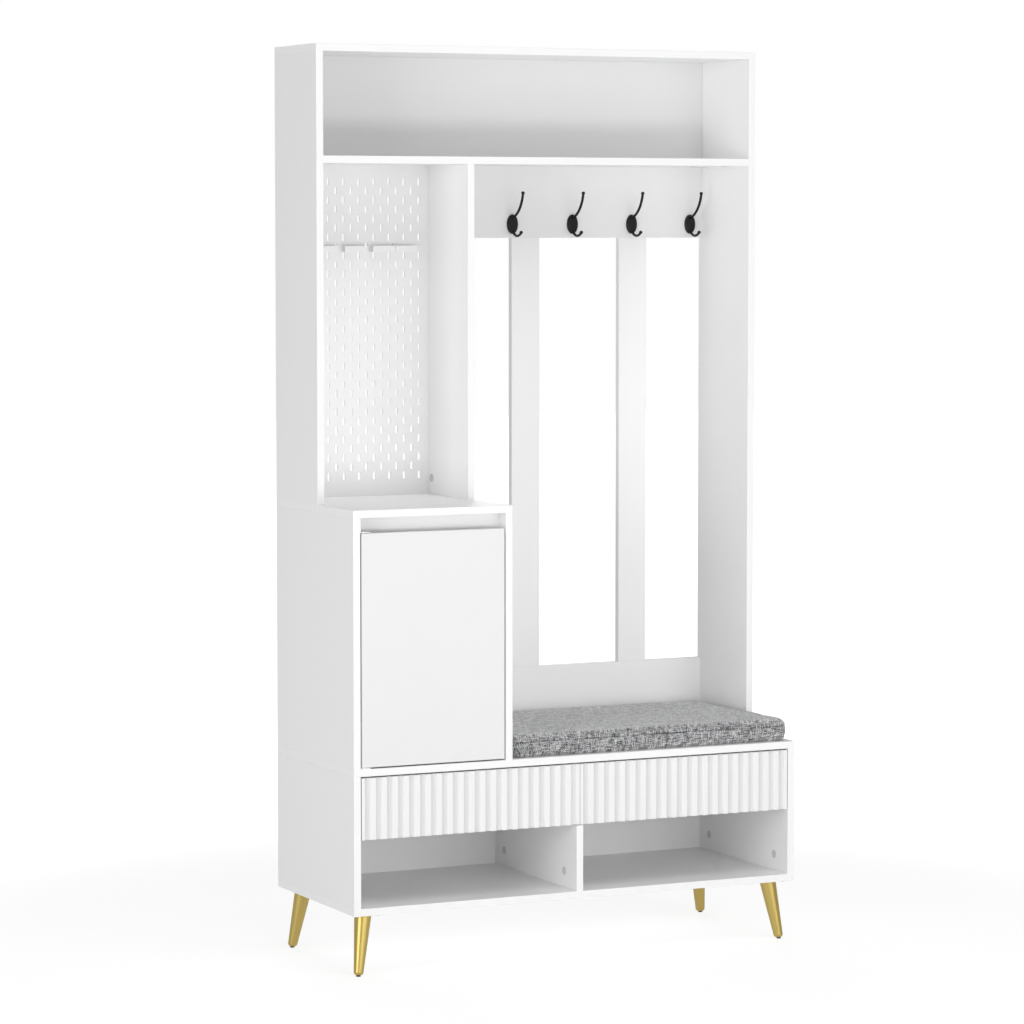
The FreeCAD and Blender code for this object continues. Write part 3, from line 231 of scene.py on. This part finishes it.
coatings = {
    "flutedLacquer": {
        "colour": (0.905, 0.905, 0.907, 1), "roughness": 0.36, "roughnessDrift": 0.05, "toneDrift": 0.02,
        "speckle": 0.012, "pebbleSize": 0.0011, "bumpDepth": 0.00003, "ior": 1.47},
    "whitePowder": {
        "colour": (0.86, 0.86, 0.862, 1), "roughness": 0.42, "roughnessDrift": 0.05, "toneDrift": 0.02,
        "speckle": 0.02, "pebbleSize": 0.0007, "bumpDepth": 0.00006, "ior": 1.48},
    "whiteMoulded": {
        "colour": (0.95, 0.95, 0.95, 1), "roughness": 0.34, "roughnessDrift": 0.06, "toneDrift": 0.015,
        "speckle": 0.015, "pebbleSize": 0.0005, "bumpDepth": 0.00002, "ior": 1.46},
    "blackPowder": {
        "colour": (0.006, 0.006, 0.0063, 1), "roughness": 0.34, "roughnessDrift": 0.12, "toneDrift": 0.25,
        "speckle": 0.5, "pebbleSize": 0.00055, "bumpDepth": 0.00004, "ior": 1.36},
    "greyMoulded": {
        "colour": (0.66, 0.66, 0.665, 1), "roughness": 0.48, "roughnessDrift": 0.08, "toneDrift": 0.06,
        "speckle": 0.05, "pebbleSize": 0.0004, "bumpDepth": 0.00003, "ior": 1.46},
    "blackMoulded": {
        "colour": (0.018, 0.018, 0.018, 1), "roughness": 0.55, "roughnessDrift": 0.1, "toneDrift": 0.2,
        "speckle": 0.2, "pebbleSize": 0.0005, "bumpDepth": 0.00004, "ior": 1.46},
}


def makeCoating(name, look):
    material, tree, shader = newMaterial(name)
    skin = useGroup(tree, mottle, **look)
    tree.links.new(skin.outputs["Colour"], shader.inputs["Base Color"])
    tree.links.new(skin.outputs["Roughness"], shader.inputs["Roughness"])
    shader.inputs["IOR"].default_value = look["ior"]
    addBump(tree, shader, skin.outputs["Height"], look["bumpDepth"])
    return material


paintedGrooveShade = {"floorTone": 0.87, "from": 0.0004, "to": 0.0030}


def makeFluted(look, flutes):
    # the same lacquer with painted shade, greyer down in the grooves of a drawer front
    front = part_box("drawer_left_front")[0].y
    material, tree, shader = newMaterial("flutedLacquer")
    skin = useGroup(tree, mottle, **look)
    spot = tree.nodes.new("ShaderNodeSeparateXYZ")
    tree.links.new(objectSpace(tree), spot.inputs[0])
    # painted shade: the colour darkens with depth into the grooves
    tone = spread(tree, spot.outputs[1], front + flutes["from"], front + flutes["to"],
                  1.0, flutes["floorTone"], smooth=True)
    shade = vectorCalc(tree, "SCALE", skin.outputs["Colour"])
    tree.links.new(tone, shade.node.inputs["Scale"])
    tree.links.new(shade, shader.inputs["Base Color"])
    tree.links.new(skin.outputs["Roughness"], shader.inputs["Roughness"])
    shader.inputs["IOR"].default_value = look["ior"]
    addBump(tree, shader, skin.outputs["Height"], look["bumpDepth"])
    return material


# metals

metals = {
    "satinGold": {"colour": (0.60, 0.455, 0.145, 1), "roughness": 0.38, "lineStretch": (1500, 1500, 70),
                  "toneDrift": 0.10, "roughnessDrift": 0.10, "bumpDepth": 0.000003},
    "zincPlate": {"colour": (0.60, 0.61, 0.63, 1), "roughness": 0.34, "lineStretch": (900, 40, 900),
                  "toneDrift": 0.16, "roughnessDrift": 0.18, "bumpDepth": 0.00001},
}


def makeMetal(name, look):
    material, tree, shader = newMaterial(name)
    skin = useGroup(tree, brushing, **look)
    tree.links.new(skin.outputs["Colour"], shader.inputs["Base Color"])
    tree.links.new(skin.outputs["Roughness"], shader.inputs["Roughness"])
    shader.inputs["Metallic"].default_value = 1.0
    addBump(tree, shader, skin.outputs["Height"], look["bumpDepth"])
    return material


# beech dowels

dowelLook = {"early": (0.60, 0.42, 0.25, 1), "late": (0.46, 0.30, 0.17, 1), "streaks": (260, 260, 900),
             "roughness": 0.6, "toneDrift": 0.08, "speckle": 0.1, "pebbleSize": 0.0006, "bumpDepth": 0.00006}


def makeBeech(look):
    material, tree, shader = newMaterial("beechWood")
    streaks = noiseAt(tree, vectorCalc(tree, "MULTIPLY", objectSpace(tree), look["streaks"]), 1.0, 3.0)
    skin = useGroup(tree, mottle, **look)
    tree.links.new(blendColour(tree, streaks, look["early"], look["late"]), skin.inputs["Colour"])
    tree.links.new(skin.outputs["Colour"], shader.inputs["Base Color"])
    tree.links.new(skin.outputs["Roughness"], shader.inputs["Roughness"])
    addBump(tree, shader, streaks, look["bumpDepth"])
    return material


# white melamine boards, each with its own edge bands

boardLook = {"colour": (0.938, 0.938, 0.940, 1), "roughness": 0.40, "toneDrift": 0.022, "speckle": 0.014,
             "pebbleSize": 0.0009, "roughnessDrift": 0.06, "bumpDepth": 0.000035, "ior": 1.47,
             "band": 0.001, "seamTone": 0.80, "rimTone": 1.015}
paintedShadeBoards = {"door_panel": 0.89, "top_back_panel": 0.90, "hook_board": 0.93}    # painted shade: these boards keep only this share of the full white, standing in for the lesser light on them


def makeBoard(name, look, whiteness):
    low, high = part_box(name)
    sides = [high[k] - low[k] for k in range(3)]
    thin = sides.index(min(sides))
    material, tree, shader = newMaterial("melamine_" + name)
    skin = useGroup(tree, mottle, **look)
    edges = useGroup(tree, edgeBand, lowCorner=low, highCorner=high, band=look["band"],
                     skipAxis=[1.0 if k == thin else 0.0 for k in range(3)])
    # painted shade: the whiteness is below 1 on boards darkened to stand in for lesser light
    tone = calc(tree, "MULTIPLY_ADD", edges.outputs["Line"], look["seamTone"] - 1.0, whiteness)
    tone = calc(tree, "MULTIPLY_ADD", edges.outputs["Rim"], look["rimTone"] - 1.0, tone)
    shade = vectorCalc(tree, "SCALE", skin.outputs["Colour"])
    tree.links.new(tone, shade.node.inputs["Scale"])
    tree.links.new(shade, shader.inputs["Base Color"])
    tree.links.new(skin.outputs["Roughness"], shader.inputs["Roughness"])
    shader.inputs["IOR"].default_value = look["ior"]
    addBump(tree, shader, skin.outputs["Height"], look["bumpDepth"])
    return material


finishes = {name: makeCoating(name, look) for name, look in coatings.items() if name != "flutedLacquer"}
finishes.update({name: makeMetal(name, look) for name, look in metals.items()})
finishes["beechWood"] = makeBeech(dowelLook)
finishes["flutedLacquer"] = makeFluted(coatings["flutedLacquer"], paintedGrooveShade)

slotFinish = {
    "white_fluted": "flutedLacquer", "white_metal": "whitePowder", "white_plastic": "whiteMoulded",
    "leg_gold": "satinGold", "hook_black": "blackPowder", "zinc_steel": "zincPlate",
    "grey_plastic": "greyMoulded", "black_plastic": "blackMoulded", "beech": "beechWood",
}


def paint(thing, material):
    thing.data.materials.clear()
    thing.data.materials.append(material)


for part in frame["record"]["subparts"]:
    slotName = part["material_slot"]
    name = part["node"]
    if slotName == "white_board":
        paint(nodes[name], makeBoard(name, boardLook, paintedShadeBoards.get(name, 1.0)))
    elif slotName != "seat_fabric":
        paint(nodes[name], finishes[slotFinish[slotName]])
print("finishes on", len(nodes), "nodes")


# seat cushion: blown-up cover, flat below, with a sewn line round the top and a nose past the side board

seat = {
    "inset": (0.0015, 0.0015, 0.00075), "corner": 0.020, "edge": 0.017, "foot": 0.010, "voxel": 0.004,
    "pressure": 4.0, "cap": 0.006, "frames": 20, "clothQuality": 5, "clothMass": 0.35,
    "crown": 0.0035, "crownPower": 0.6, "crownRoom": 0.0015, "rim": 0.0006,
    "waist": 0.0022, "longSideFrom": 0.80, "endFrom": 0.85,
    "lumpHeight": 0.0007, "lumpScale": (14, 14, 30),
    "seamDrop": 0.0140, "seamDepth": 0.0020, "seamHalf": 0.0022, "seamBand": 0.02,
    "lowerSeamRise": 0.8, "lowerSeamShare": 0.7,
    "puckerPitch": 0.0088, "puckerDepth": 0.00022, "puckerReach": 3.2, "puckerSway": 2.1, "swayScale": 60,
    "stitchPitch": 0.0062, "stitchGap": 0.0021, "stitchSway": 0.0002, "stitchWave": 1.7,
    "thread": 0.00055, "threadEnd": 0.55, "threadArch": 0.75, "threadSink": 0.35, "threadSides": 8,
    "wallGap": 0.003, "noseFrom": 0.009, "noseLength": 0.032, "noseRun": 0.10,
}


def seatLimits(look):
    # corners of the cushion, the inner limit beside the side board, and how far the nose stands past it
    low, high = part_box("cushion")
    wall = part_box("upper_side_right")[0]
    inner = Vector((wall.x - look["wallGap"], high.y, high.z))
    return low, inner, high.x - inner.x, wall.y


def nosePush(look, limits, x, y):
    low, inner, nose, wallFront = limits
    along = max(0.0, min(1.0, (x - inner.x + look["noseRun"]) / look["noseRun"]))
    front = max(0.0, min(1.0, (wallFront - look["noseFrom"] - y) / look["noseLength"]))
    return nose * along * front * front * (3 - 2 * front)


def roundedSlab(low, high, look, rows=5, turns=6):
    # closed form: rounded plan, rounded rims, the plan outline repeated level by level
    midX, midY = (low.x + high.x) / 2, (low.y + high.y) / 2
    halfX, halfY = (high.x - low.x) / 2, (high.y - low.y) / 2
    corner = look["corner"]
    angles = [math.pi / 2 * k / rows for k in range(rows + 1)]
    bends = [(1 - math.sin(angle), 1 - math.cos(angle)) for angle in angles]
    levels = [(look["foot"] * inward, low.z + look["foot"] * up) for inward, up in bends]
    levels += [(look["edge"] * inward, high.z - look["edge"] * down) for inward, down in reversed(bends)]
    mesh = bmesh.new()
    rings = []
    for inward, z in levels:
        ring = []
        for quarter, (sx, sy) in enumerate(((1, 1), (-1, 1), (-1, -1), (1, -1))):
            for turn in range(turns + 1):
                angle = math.pi / 2 * (quarter + turn / turns)
                radius = corner - inward
                ring.append(mesh.verts.new((
                    midX + sx * (halfX - corner) + radius * math.cos(angle),
                    midY + sy * (halfY - corner) + radius * math.sin(angle), z)))
        rings.append(ring)
    for below, above in zip(rings, rings[1:]):
        for k in range(len(below)):
            n = (k + 1) % len(below)
            mesh.faces.new((below[k], below[n], above[n], above[k]))
    mesh.faces.new(list(reversed(rings[0])))
    mesh.faces.new(rings[-1])
    return mesh


def finishMesh(name, mesh, smooth=True):
    data = bpy.data.meshes.new(name)
    mesh.to_mesh(data)
    mesh.free()
    for face in data.polygons:
        face.use_smooth = smooth
    thing = bpy.data.objects.new(name, data)
    scene.collection.objects.link(thing)
    return thing


def applyModifiers(thing):
    shape = bpy.data.meshes.new_from_object(thing.evaluated_get(bpy.context.evaluated_depsgraph_get()))
    thing.modifiers.clear()
    thing.data = shape


def inflate(thing, look):
    # air pressure swells the cover, and no point moves further than the cap
    rest = [v.co.copy() for v in thing.data.vertices]
    cloth = thing.modifiers.new("Cloth", "CLOTH")
    cloth.settings.use_pressure = True
    cloth.settings.uniform_pressure_force = look["pressure"]
    cloth.settings.quality = look["clothQuality"]
    cloth.settings.mass = look["clothMass"]
    cloth.settings.effector_weights.gravity = 0
    cloth.point_cache.frame_start = 1
    cloth.point_cache.frame_end = look["frames"]
    for number in range(1, look["frames"] + 1):
        scene.frame_set(number)
    applyModifiers(thing)
    scene.frame_set(1)
    moved = []
    for v, start in zip(thing.data.vertices, rest):
        move = v.co - start
        moved.extend(start + move * min(1.0, look["cap"] / max(move.length, 1e-9)))
    thing.data.vertices.foreach_set("co", moved)


def makeSeat(look):
    limits = seatLimits(look)
    low, high = limits[:2]
    inset = Vector(look["inset"])
    thing = finishMesh("seatCushion", roundedSlab(low + inset, high - inset, look))
    remesh = thing.modifiers.new("Remesh", "REMESH")
    remesh.mode = "VOXEL"
    remesh.voxel_size = look["voxel"]
    applyModifiers(thing)
    inflate(thing, look)
    divide = thing.modifiers.new("Smooth", "SUBSURF")
    divide.levels = divide.render_levels = 1
    applyModifiers(thing)
    shapeSeat(thing, limits, look)
    for face in thing.data.polygons:
        face.use_smooth = True
    return thing


def insideOutline(low, high, look, x, y):
    # distance in from the rounded plan outline
    halfX, halfY = (high.x - low.x) / 2, (high.y - low.y) / 2
    dx, dy = x - (low.x + high.x) / 2, y - (low.y + high.y) / 2
    qx, qy = abs(dx) - (halfX - look["corner"]), abs(dy) - (halfY - look["corner"])
    outside = math.hypot(max(qx, 0), max(qy, 0)) + min(max(qx, qy), 0)
    return look["corner"] - outside


def drawIn(look, across, alongOther, upper, start):
    # how far a side is pulled in: most along its middle, less at the corners, none inside the start line
    side = look["waist"] * math.sin(math.pi * upper)
    return math.copysign(side * (1 - alongOther ** 4), across) * (abs(across) - start) / (1 - start)


def sewnPull(look, low, high, p, normal):
    # the groove of each seam and the small puckers beside it
    along = p.x if abs(normal.y) > abs(normal.x) else p.y
    upperSeam = (high.z - look["seamDrop"], 1.0)
    lowerSeam = (low.z + look["seamDrop"] * look["lowerSeamRise"], look["lowerSeamShare"])
    for level, share in (upperSeam, lowerSeam):
        reach = (p.z - level) / look["seamHalf"]
        groove = math.exp(-reach * reach)
        sway = look["puckerSway"] * noise.noise(p * look["swayScale"])
        pucker = math.sin(along * 2 * math.pi / look["puckerPitch"] + sway)
        near = math.exp(-(reach / look["puckerReach"]) ** 2)
        p = p - normal * (look["seamDepth"] * groove + look["puckerDepth"] * pucker * near) * share
    return p


def shapeSeat(thing, limits, look):
    low, high = limits[:2]
    midX, midY = (low.x + high.x) / 2, (low.y + high.y) / 2
    halfX, halfY = (high.x - low.x) / 2, (high.y - low.y) / 2
    rim, lumpScale = look["rim"], Vector(look["lumpScale"])
    thing.data.update()
    spots = [(v.co.copy(), v.normal.copy()) for v in thing.data.vertices]
    moved = []
    for p, normal in spots:
        inside = insideOutline(low, high, look, p.x, p.y)
        fx, fy = (p.x - midX) / halfX, (p.y - midY) / halfY
        upper = max(0.0, min(1.0, (p.z - low.z) / (high.z - low.z)))
        dome = max(0.0, 1 - fx * fx) * max(0.0, 1 - fy * fy)
        p.z += look["crown"] * dome ** look["crownPower"] * upper ** 2
        if abs(fy) > look["longSideFrom"]:
            p.y -= drawIn(look, fy, fx, upper, look["longSideFrom"])
        if abs(fx) > look["endFrom"]:
            p.x -= drawIn(look, fx, fy, upper, look["endFrom"])
        p += normal * noise.noise(p * lumpScale) * look["lumpHeight"] * upper
        p.x = min(max(p.x, low.x + rim), high.x - rim)
        p.y = min(max(p.y, low.y + rim), high.y - rim)
        if inside < look["seamBand"]:
            p = sewnPull(look, low, high, p, normal)
        p.z = min(max(p.z, low.z), high.z + look["crownRoom"])
        p.x += nosePush(look, limits, p.x, p.y)
        moved.extend(p)
    thing.data.vertices.foreach_set("co", moved)
    thing.data.update()


cushion = makeSeat(seat)
print("cushion made with", len(cushion.data.polygons), "faces")


def makeTweed(name, look):
    material, tree, shader = newMaterial(name)
    where = objectSpace(tree)
    facing = tree.nodes.new("ShaderNodeTexCoord").outputs["Normal"]
    spot, turned = tree.nodes.new("ShaderNodeSeparateXYZ"), tree.nodes.new("ShaderNodeSeparateXYZ")
    tree.links.new(where, spot.inputs[0])
    tree.links.new(facing, turned.inputs[0])

    # the cloth runs over the top and down the front and back, and turns a quarter at the two ends
    low, high = look["endTurn"]
    ends = spread(tree, calc(tree, "ABSOLUTE", turned.outputs[0]), low, high, 0.0, 1.0)
    others = calc(tree, "SUBTRACT", 1.0, ends)
    fromFold = calc(tree, "ABSOLUTE", calc(tree, "SUBTRACT", spot.outputs[1], look["foldY"]))
    down = calc(tree, "SUBTRACT", fromFold, spot.outputs[2])
    across = calc(tree, "ADD", calc(tree, "MULTIPLY", spot.outputs[0], others),
                  calc(tree, "MULTIPLY", spot.outputs[1], ends))
    along = calc(tree, "ADD", calc(tree, "MULTIPLY", down, others),
                 calc(tree, "MULTIPLY", spot.outputs[2], ends))
    wander = noiseAt(tree, where, look["wanderScale"], 2.0)
    wander = calc(tree, "MULTIPLY", calc(tree, "SUBTRACT", wander, 0.5), look["wander"])
    across = calc(tree, "ADD", across, wander)
    along = calc(tree, "ADD", along, wander)

    def place(u, v, uScale, vScale):
        node = tree.nodes.new("ShaderNodeCombineXYZ")
        tree.links.new(calc(tree, "MULTIPLY", u, uScale), node.inputs[0])
        tree.links.new(calc(tree, "MULTIPLY", v, vScale), node.inputs[1])
        return node.outputs[0]

    # yarns over and under, each with its own slubs
    uCount, vCount = calc(tree, "DIVIDE", across, look["pitch"]), calc(tree, "DIVIDE", along, look["pitch"])
    uRound = calc(tree, "ABSOLUTE", calc(tree, "SINE", calc(tree, "MULTIPLY", uCount, math.pi)))
    vRound = calc(tree, "ABSOLUTE", calc(tree, "SINE", calc(tree, "MULTIPLY", vCount, math.pi)))
    uFloor, vFloor = calc(tree, "FLOOR", uCount), calc(tree, "FLOOR", vCount)
    over = calc(tree, "MODULO", calc(tree, "ABSOLUTE", calc(tree, "ADD", uFloor, vFloor)), 2.0)
    under = calc(tree, "SUBTRACT", 1.0, over)
    slubScale, yarnStep = 1 / look["slub"], look["yarnStep"]
    warpSlub = noiseAt(tree, place(uFloor, along, yarnStep, slubScale), 1.0, 3.0)
    weftSlub = noiseAt(tree, place(across, vFloor, slubScale, yarnStep), 1.0, 3.0)
    low, high = look["slubTurn"]
    warp = spread(tree, warpSlub, low, high, 0.0, 1.0)
    weft = spread(tree, weftSlub, low, high, 0.0, 1.0)
    yarn = calc(tree, "ADD", calc(tree, "MULTIPLY", warp, over), calc(tree, "MULTIPLY", weft, under))
    fleckScale = 1 / look["fleck"]
    coarse = noiseAt(tree, place(across, along, fleckScale, fleckScale / look["fleckWidth"]), 1.0)
    yarn = calc(tree, "ADD", calc(tree, "MULTIPLY", yarn, 1 - look["fleckShare"]),
                calc(tree, "MULTIPLY", coarse, look["fleckShare"]))
    ramp = tree.nodes.new("ShaderNodeValToRGB")
    first, last = ramp.color_ramp.elements
    first.position, last.position = look["tonesFrom"], look["tonesTo"]
    first.color, last.color = look["dark"], look["light"]
    ramp.color_ramp.elements.new(0.5).color = look["middle"]
    tree.links.new(yarn, ramp.inputs[0])

    # painted shade between the yarns and along the seam, painted light making the top paler
    pits = calc(tree, "MULTIPLY", uRound, vRound)
    # painted shade: darker in the gaps between the yarns
    depth = spread(tree, pits, 0.0, look["pitReach"], look["pitTone"], 1.0, smooth=True)
    # painted shade: darker in a narrow band along the seam groove
    offSeam = calc(tree, "ABSOLUTE", calc(tree, "SUBTRACT", spot.outputs[2], look["seamZ"]))
    low, high = look["gatherTurn"]
    seamShadeDashes = noiseAt(tree, where, look["gatherScale"], 2.0)     # painted shade in dashes along the seam, where it is drawn in here and there
    seamShadeDashes = spread(tree, seamShadeDashes, low, high, look["seamTone"], 1.0)
    seamShade = spread(tree, offSeam, 0.0, look["seamReach"], seamShadeDashes, 1.0, smooth=True)
    depth = calc(tree, "MULTIPLY", depth, seamShade)
    # painted light: cloth facing up is made paler, as if lit more from above, capped at the palest colour
    paintedTopLight = spread(tree, turned.outputs[2], look["wornFrom"], 1.0, 1.0, look["topTone"], smooth=True)
    depth = calc(tree, "MULTIPLY", depth, paintedTopLight)
    shade = vectorCalc(tree, "SCALE", ramp.outputs[0])
    tree.links.new(depth, shade.node.inputs["Scale"])
    tree.links.new(vectorCalc(tree, "MINIMUM", shade, look["palest"]), shader.inputs["Base Color"])

    fuzz = noiseAt(tree, where, look["fuzzScale"], 2.0)
    tree.links.new(spread(tree, fuzz, 0.0, 1.0, look["dullest"], look["driest"]), shader.inputs["Roughness"])
    shader.inputs["Sheen Weight"].default_value = look["sheen"]
    shader.inputs["Sheen Roughness"].default_value = look["sheenRoughness"]
    shader.inputs["IOR"].default_value = look["ior"]
    topThread = calc(tree, "ADD", calc(tree, "MULTIPLY", uRound, over),
                     calc(tree, "MULTIPLY", vRound, under))
    height = calc(tree, "ADD", calc(tree, "MULTIPLY", topThread, look["threadRise"]),
                  calc(tree, "MULTIPLY", pits, look["pitRise"]))
    height = calc(tree, "ADD", height, calc(tree, "MULTIPLY", yarn, look["slubRise"]))
    height = calc(tree, "MULTIPLY_ADD", fuzz, look["fuzzRise"], height)
    addBump(tree, shader, height, look["bumpDepth"])
    return material


coverLook = {
    "dark": (0.068, 0.069, 0.072, 1), "middle": (0.400, 0.403, 0.410, 1), "light": (0.82, 0.825, 0.835, 1),
    "tonesFrom": 0.22, "tonesTo": 0.80, "palest": (0.88, 0.885, 0.895), "topTone": 1.79, "wornFrom": 0.45,
    "pitch": 0.0021, "yarnStep": 7.77, "slub": 0.016, "slubTurn": (0.34, 0.66),
    "fleck": 0.0046, "fleckWidth": 1.6, "fleckShare": 0.12, "wander": 0.0004, "wanderScale": 90.0,
    "endTurn": (0.70, 0.72), "foldY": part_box("cushion")[1].y - 0.035,    # the cloth turns down past this line
    "seamZ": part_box("cushion")[1].z - seat["seamDrop"], "seamTone": 0.14, "seamReach": 0.0019,
    "gatherScale": 30.0, "gatherTurn": (0.43, 0.57), "pitTone": 0.50, "pitReach": 0.55,
    "dullest": 0.78, "driest": 0.98, "sheen": 0.75, "sheenRoughness": 0.45, "ior": 1.4, "fuzzScale": 1600.0,
    "bumpDepth": 0.0005, "threadRise": 0.55, "pitRise": 0.25, "slubRise": 0.35, "fuzzRise": 0.12,
}
threadLook = {"colour": (0.05, 0.051, 0.055, 1), "roughness": 0.7, "toneDrift": 0.3, "speckle": 0.4,
              "pebbleSize": 0.0004, "roughnessDrift": 0.1, "bumpDepth": 0.0001, "ior": 1.4}
threadFinish = makeCoating("seamThread", threadLook)
paint(cushion, makeTweed("greyTweed", coverLook))
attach(cushion, "carcass")
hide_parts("cushion")


def sewnLine(look, surface):
    # separate stitches lying in the groove, all the way round
    limits = seatLimits(look)
    low, high = limits[:2]
    tree = BVHTree.FromPolygons([v.co for v in surface.data.vertices],
                                [tuple(f.vertices) for f in surface.data.polygons])
    corner = look["corner"]
    runX, runY = high.x - low.x - 2 * corner, high.y - low.y - 2 * corner
    bend = math.pi / 2 * corner
    total = 2 * (runX + runY) + 4 * bend
    midX, midY = (low.x + high.x) / 2, (low.y + high.y) / 2
    z = high.z - look["seamDrop"]

    def spotAt(s):
        s %= total
        for quarter, run in enumerate((runY, runX, runY, runX)):
            turn = quarter * math.pi / 2
            out = Vector((math.cos(turn), math.sin(turn), 0))
            forward = Vector((-math.sin(turn), math.cos(turn), 0))
            halfOut, halfRun = ((runX / 2, runY / 2), (runY / 2, runX / 2))[quarter % 2]
            if s < run:
                return Vector((midX, midY, z)) + out * (halfOut + corner) + forward * (s - halfRun), out
            s -= run
            if s < bend:
                angle = s / corner
                centre = Vector((midX, midY, z)) + out * halfOut + forward * halfRun
                way = out * math.cos(angle) + forward * math.sin(angle)
                return centre + way * corner, way
            s -= bend
        return spotAt(0)      # reached only when rounding leaves s at the full length

    mesh = bmesh.new()
    count = round(total / look["stitchPitch"])
    step = total / count
    length = step - look["stitchGap"]
    shares = (0, 0.2, 0.5, 0.8, 1)      # along one stitch
    last, sides = len(shares) - 1, look["threadSides"]
    angles = [2 * math.pi * j / sides for j in range(sides)]
    for k in range(count):
        points = []
        sway = Vector((0, 0, look["stitchSway"] * math.sin(k * look["stitchWave"])))
        for t in shares:
            at, out = spotAt(k * step + length * t)
            at.x += nosePush(look, limits, at.x, at.y)
            hit = tree.ray_cast(at + out * corner, -out)[0] or at
            lift = look["thread"] * (look["threadArch"] * math.sin(math.pi * t) - look["threadSink"])
            points.append((hit + out * lift + sway, out))
        previous = None
        for index, (point, out) in enumerate(points):
            ahead = points[min(index + 1, last)][0] - points[max(index - 1, 0)][0]
            side = out.cross(ahead.normalized())
            radius = look["thread"] * (look["threadEnd"] if index in (0, last) else 1.0)
            ring = [mesh.verts.new(point + (out * math.cos(a) + side * math.sin(a)) * radius) for a in angles]
            if previous:
                for j in range(sides):
                    n = (j + 1) % sides
                    mesh.faces.new((previous[j], previous[n], ring[n], ring[j]))
            else:
                mesh.faces.new(list(reversed(ring)))
            previous = ring
        mesh.faces.new(previous)
    bmesh.ops.recalc_face_normals(mesh, faces=mesh.faces)
    return finishMesh("seatStitches", mesh)


stitches = sewnLine(seat, cushion)
paint(stitches, threadFinish)
stitches.parent = cushion
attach(stitches, "carcass")
print("stitches sewn with", len(stitches.data.polygons), "faces")


# floor, light and camera

stageLook = {"size": 40.0, "nearTone": 0.93, "roughness": 0.85, "fadeFrom": 1.0, "fadeTo": 2.6,
             "nearGlow": 0.635, "seen": 1.20, "light": 0.74}


def makeFloor(look):
    mesh = bmesh.new()
    half = look["size"] / 2
    mesh.faces.new([mesh.verts.new((x * half, y * half, 0)) for x, y in ((-1, -1), (1, -1), (1, 1), (-1, 1))])
    floor = finishMesh("floor", mesh, smooth=False)
    material, tree, shader = newMaterial("paleFloor")
    shader.inputs["Base Color"].default_value = (look["nearTone"],) * 3 + (1,)
    shader.inputs["Roughness"].default_value = look["roughness"]
    glow = tree.nodes.new("ShaderNodeEmission")
    rays = tree.nodes.new("ShaderNodeLightPath").outputs["Is Camera Ray"]
    tree.links.new(spread(tree, rays, 0.0, 1.0, look["light"], look["seen"]), glow.inputs["Strength"])
    mix = tree.nodes.new("ShaderNodeMixShader")
    where = tree.nodes.new("ShaderNodeTexCoord").outputs["Object"]
    length = tree.nodes.new("ShaderNodeVectorMath")
    length.operation = "LENGTH"
    tree.links.new(where, length.inputs[0])
    fade = spread(tree, length.outputs["Value"], look["fadeFrom"], look["fadeTo"], look["nearGlow"], 1.0,
                  smooth=True)
    tree.links.new(fade, mix.inputs[0])
    tree.links.new(shader.outputs[0], mix.inputs[1])
    tree.links.new(glow.outputs[0], mix.inputs[2])
    tree.links.new(mix.outputs[0], tree.nodes["Material Output"].inputs["Surface"])
    paint(floor, material)


makeFloor(stageLook)

skyLook = {"seen": 1.0, "light": 0.28}


def makeSky(look):
    world = bpy.data.worlds.new("studio")
    scene.world = world
    world.use_nodes = True
    tree = world.node_tree
    shown = tree.nodes["Background"]
    shown.inputs["Strength"].default_value = look["light"]
    shown.inputs["Color"].default_value = (1, 1, 1, 1)
    white = tree.nodes.new("ShaderNodeBackground")
    white.inputs["Strength"].default_value = look["seen"]
    white.inputs["Color"].default_value = (1, 1, 1, 1)
    rays = tree.nodes.new("ShaderNodeLightPath")
    mix = tree.nodes.new("ShaderNodeMixShader")
    tree.links.new(rays.outputs["Is Camera Ray"], mix.inputs[0])
    tree.links.new(shown.outputs[0], mix.inputs[1])
    tree.links.new(white.outputs[0], mix.inputs[2])
    tree.links.new(mix.outputs[0], tree.nodes["World Output"].inputs["Surface"])


makeSky(skyLook)

lamps = {
    "sidePanel": {"at": (-5.0, -2.4, 1.1), "aim": (0, 0, 0.9), "size": (2.5, 2.5), "power": 93},
    "lowPanel": {"at": (0.4, -3.0, 0.60), "aim": (0.1, 0, 0.2), "size": (3.4, 0.6), "power": 26},
    "middlePanel": {"at": (0.0, -5.2, 2.2), "aim": (0, 0, 0.5), "size": (3.6, 1.2), "power": 11},
    "topPanel": {"at": (0.2, -2.5, 4.8), "aim": (0, -0.1, 0.9), "size": (3.2, 2.2), "power": 61},
    "rearPanel": {"at": (0.8, 5.2, 2.6), "aim": (0, 0, 0.9), "size": (4.0, 3.0), "power": 70},
}
for name, lamp in lamps.items():
    data = bpy.data.lights.new(name, "AREA")
    data.shape = "RECTANGLE"
    data.size, data.size_y = lamp["size"]
    data.energy = lamp["power"]
    light = bpy.data.objects.new(name, data)
    light.visible_camera = False
    light.location = lamp["at"]
    light.rotation_euler = (Vector(lamp["aim"]) - Vector(lamp["at"])).to_track_quat("-Z", "Y").to_euler()
    scene.collection.objects.link(light)

view = {"at": (-3.4976, -7.1852, 1.4973), "turn": 25.582, "tilt": 4.267, "lens": 136.15, "sensor": 36,
        "farthest": 200}
camera = bpy.data.objects.new("camera", bpy.data.cameras.new("camera"))
camera.data.sensor_width = view["sensor"]
camera.data.lens = view["lens"]
camera.data.clip_end = view["farthest"]
camera.location = view["at"]
camera.rotation_euler = (math.radians(90 - view["tilt"]), 0, math.radians(-view["turn"]))
scene.collection.objects.link(camera)
scene.camera = camera
scene.view_settings.view_transform = "Standard"
print("stage set")
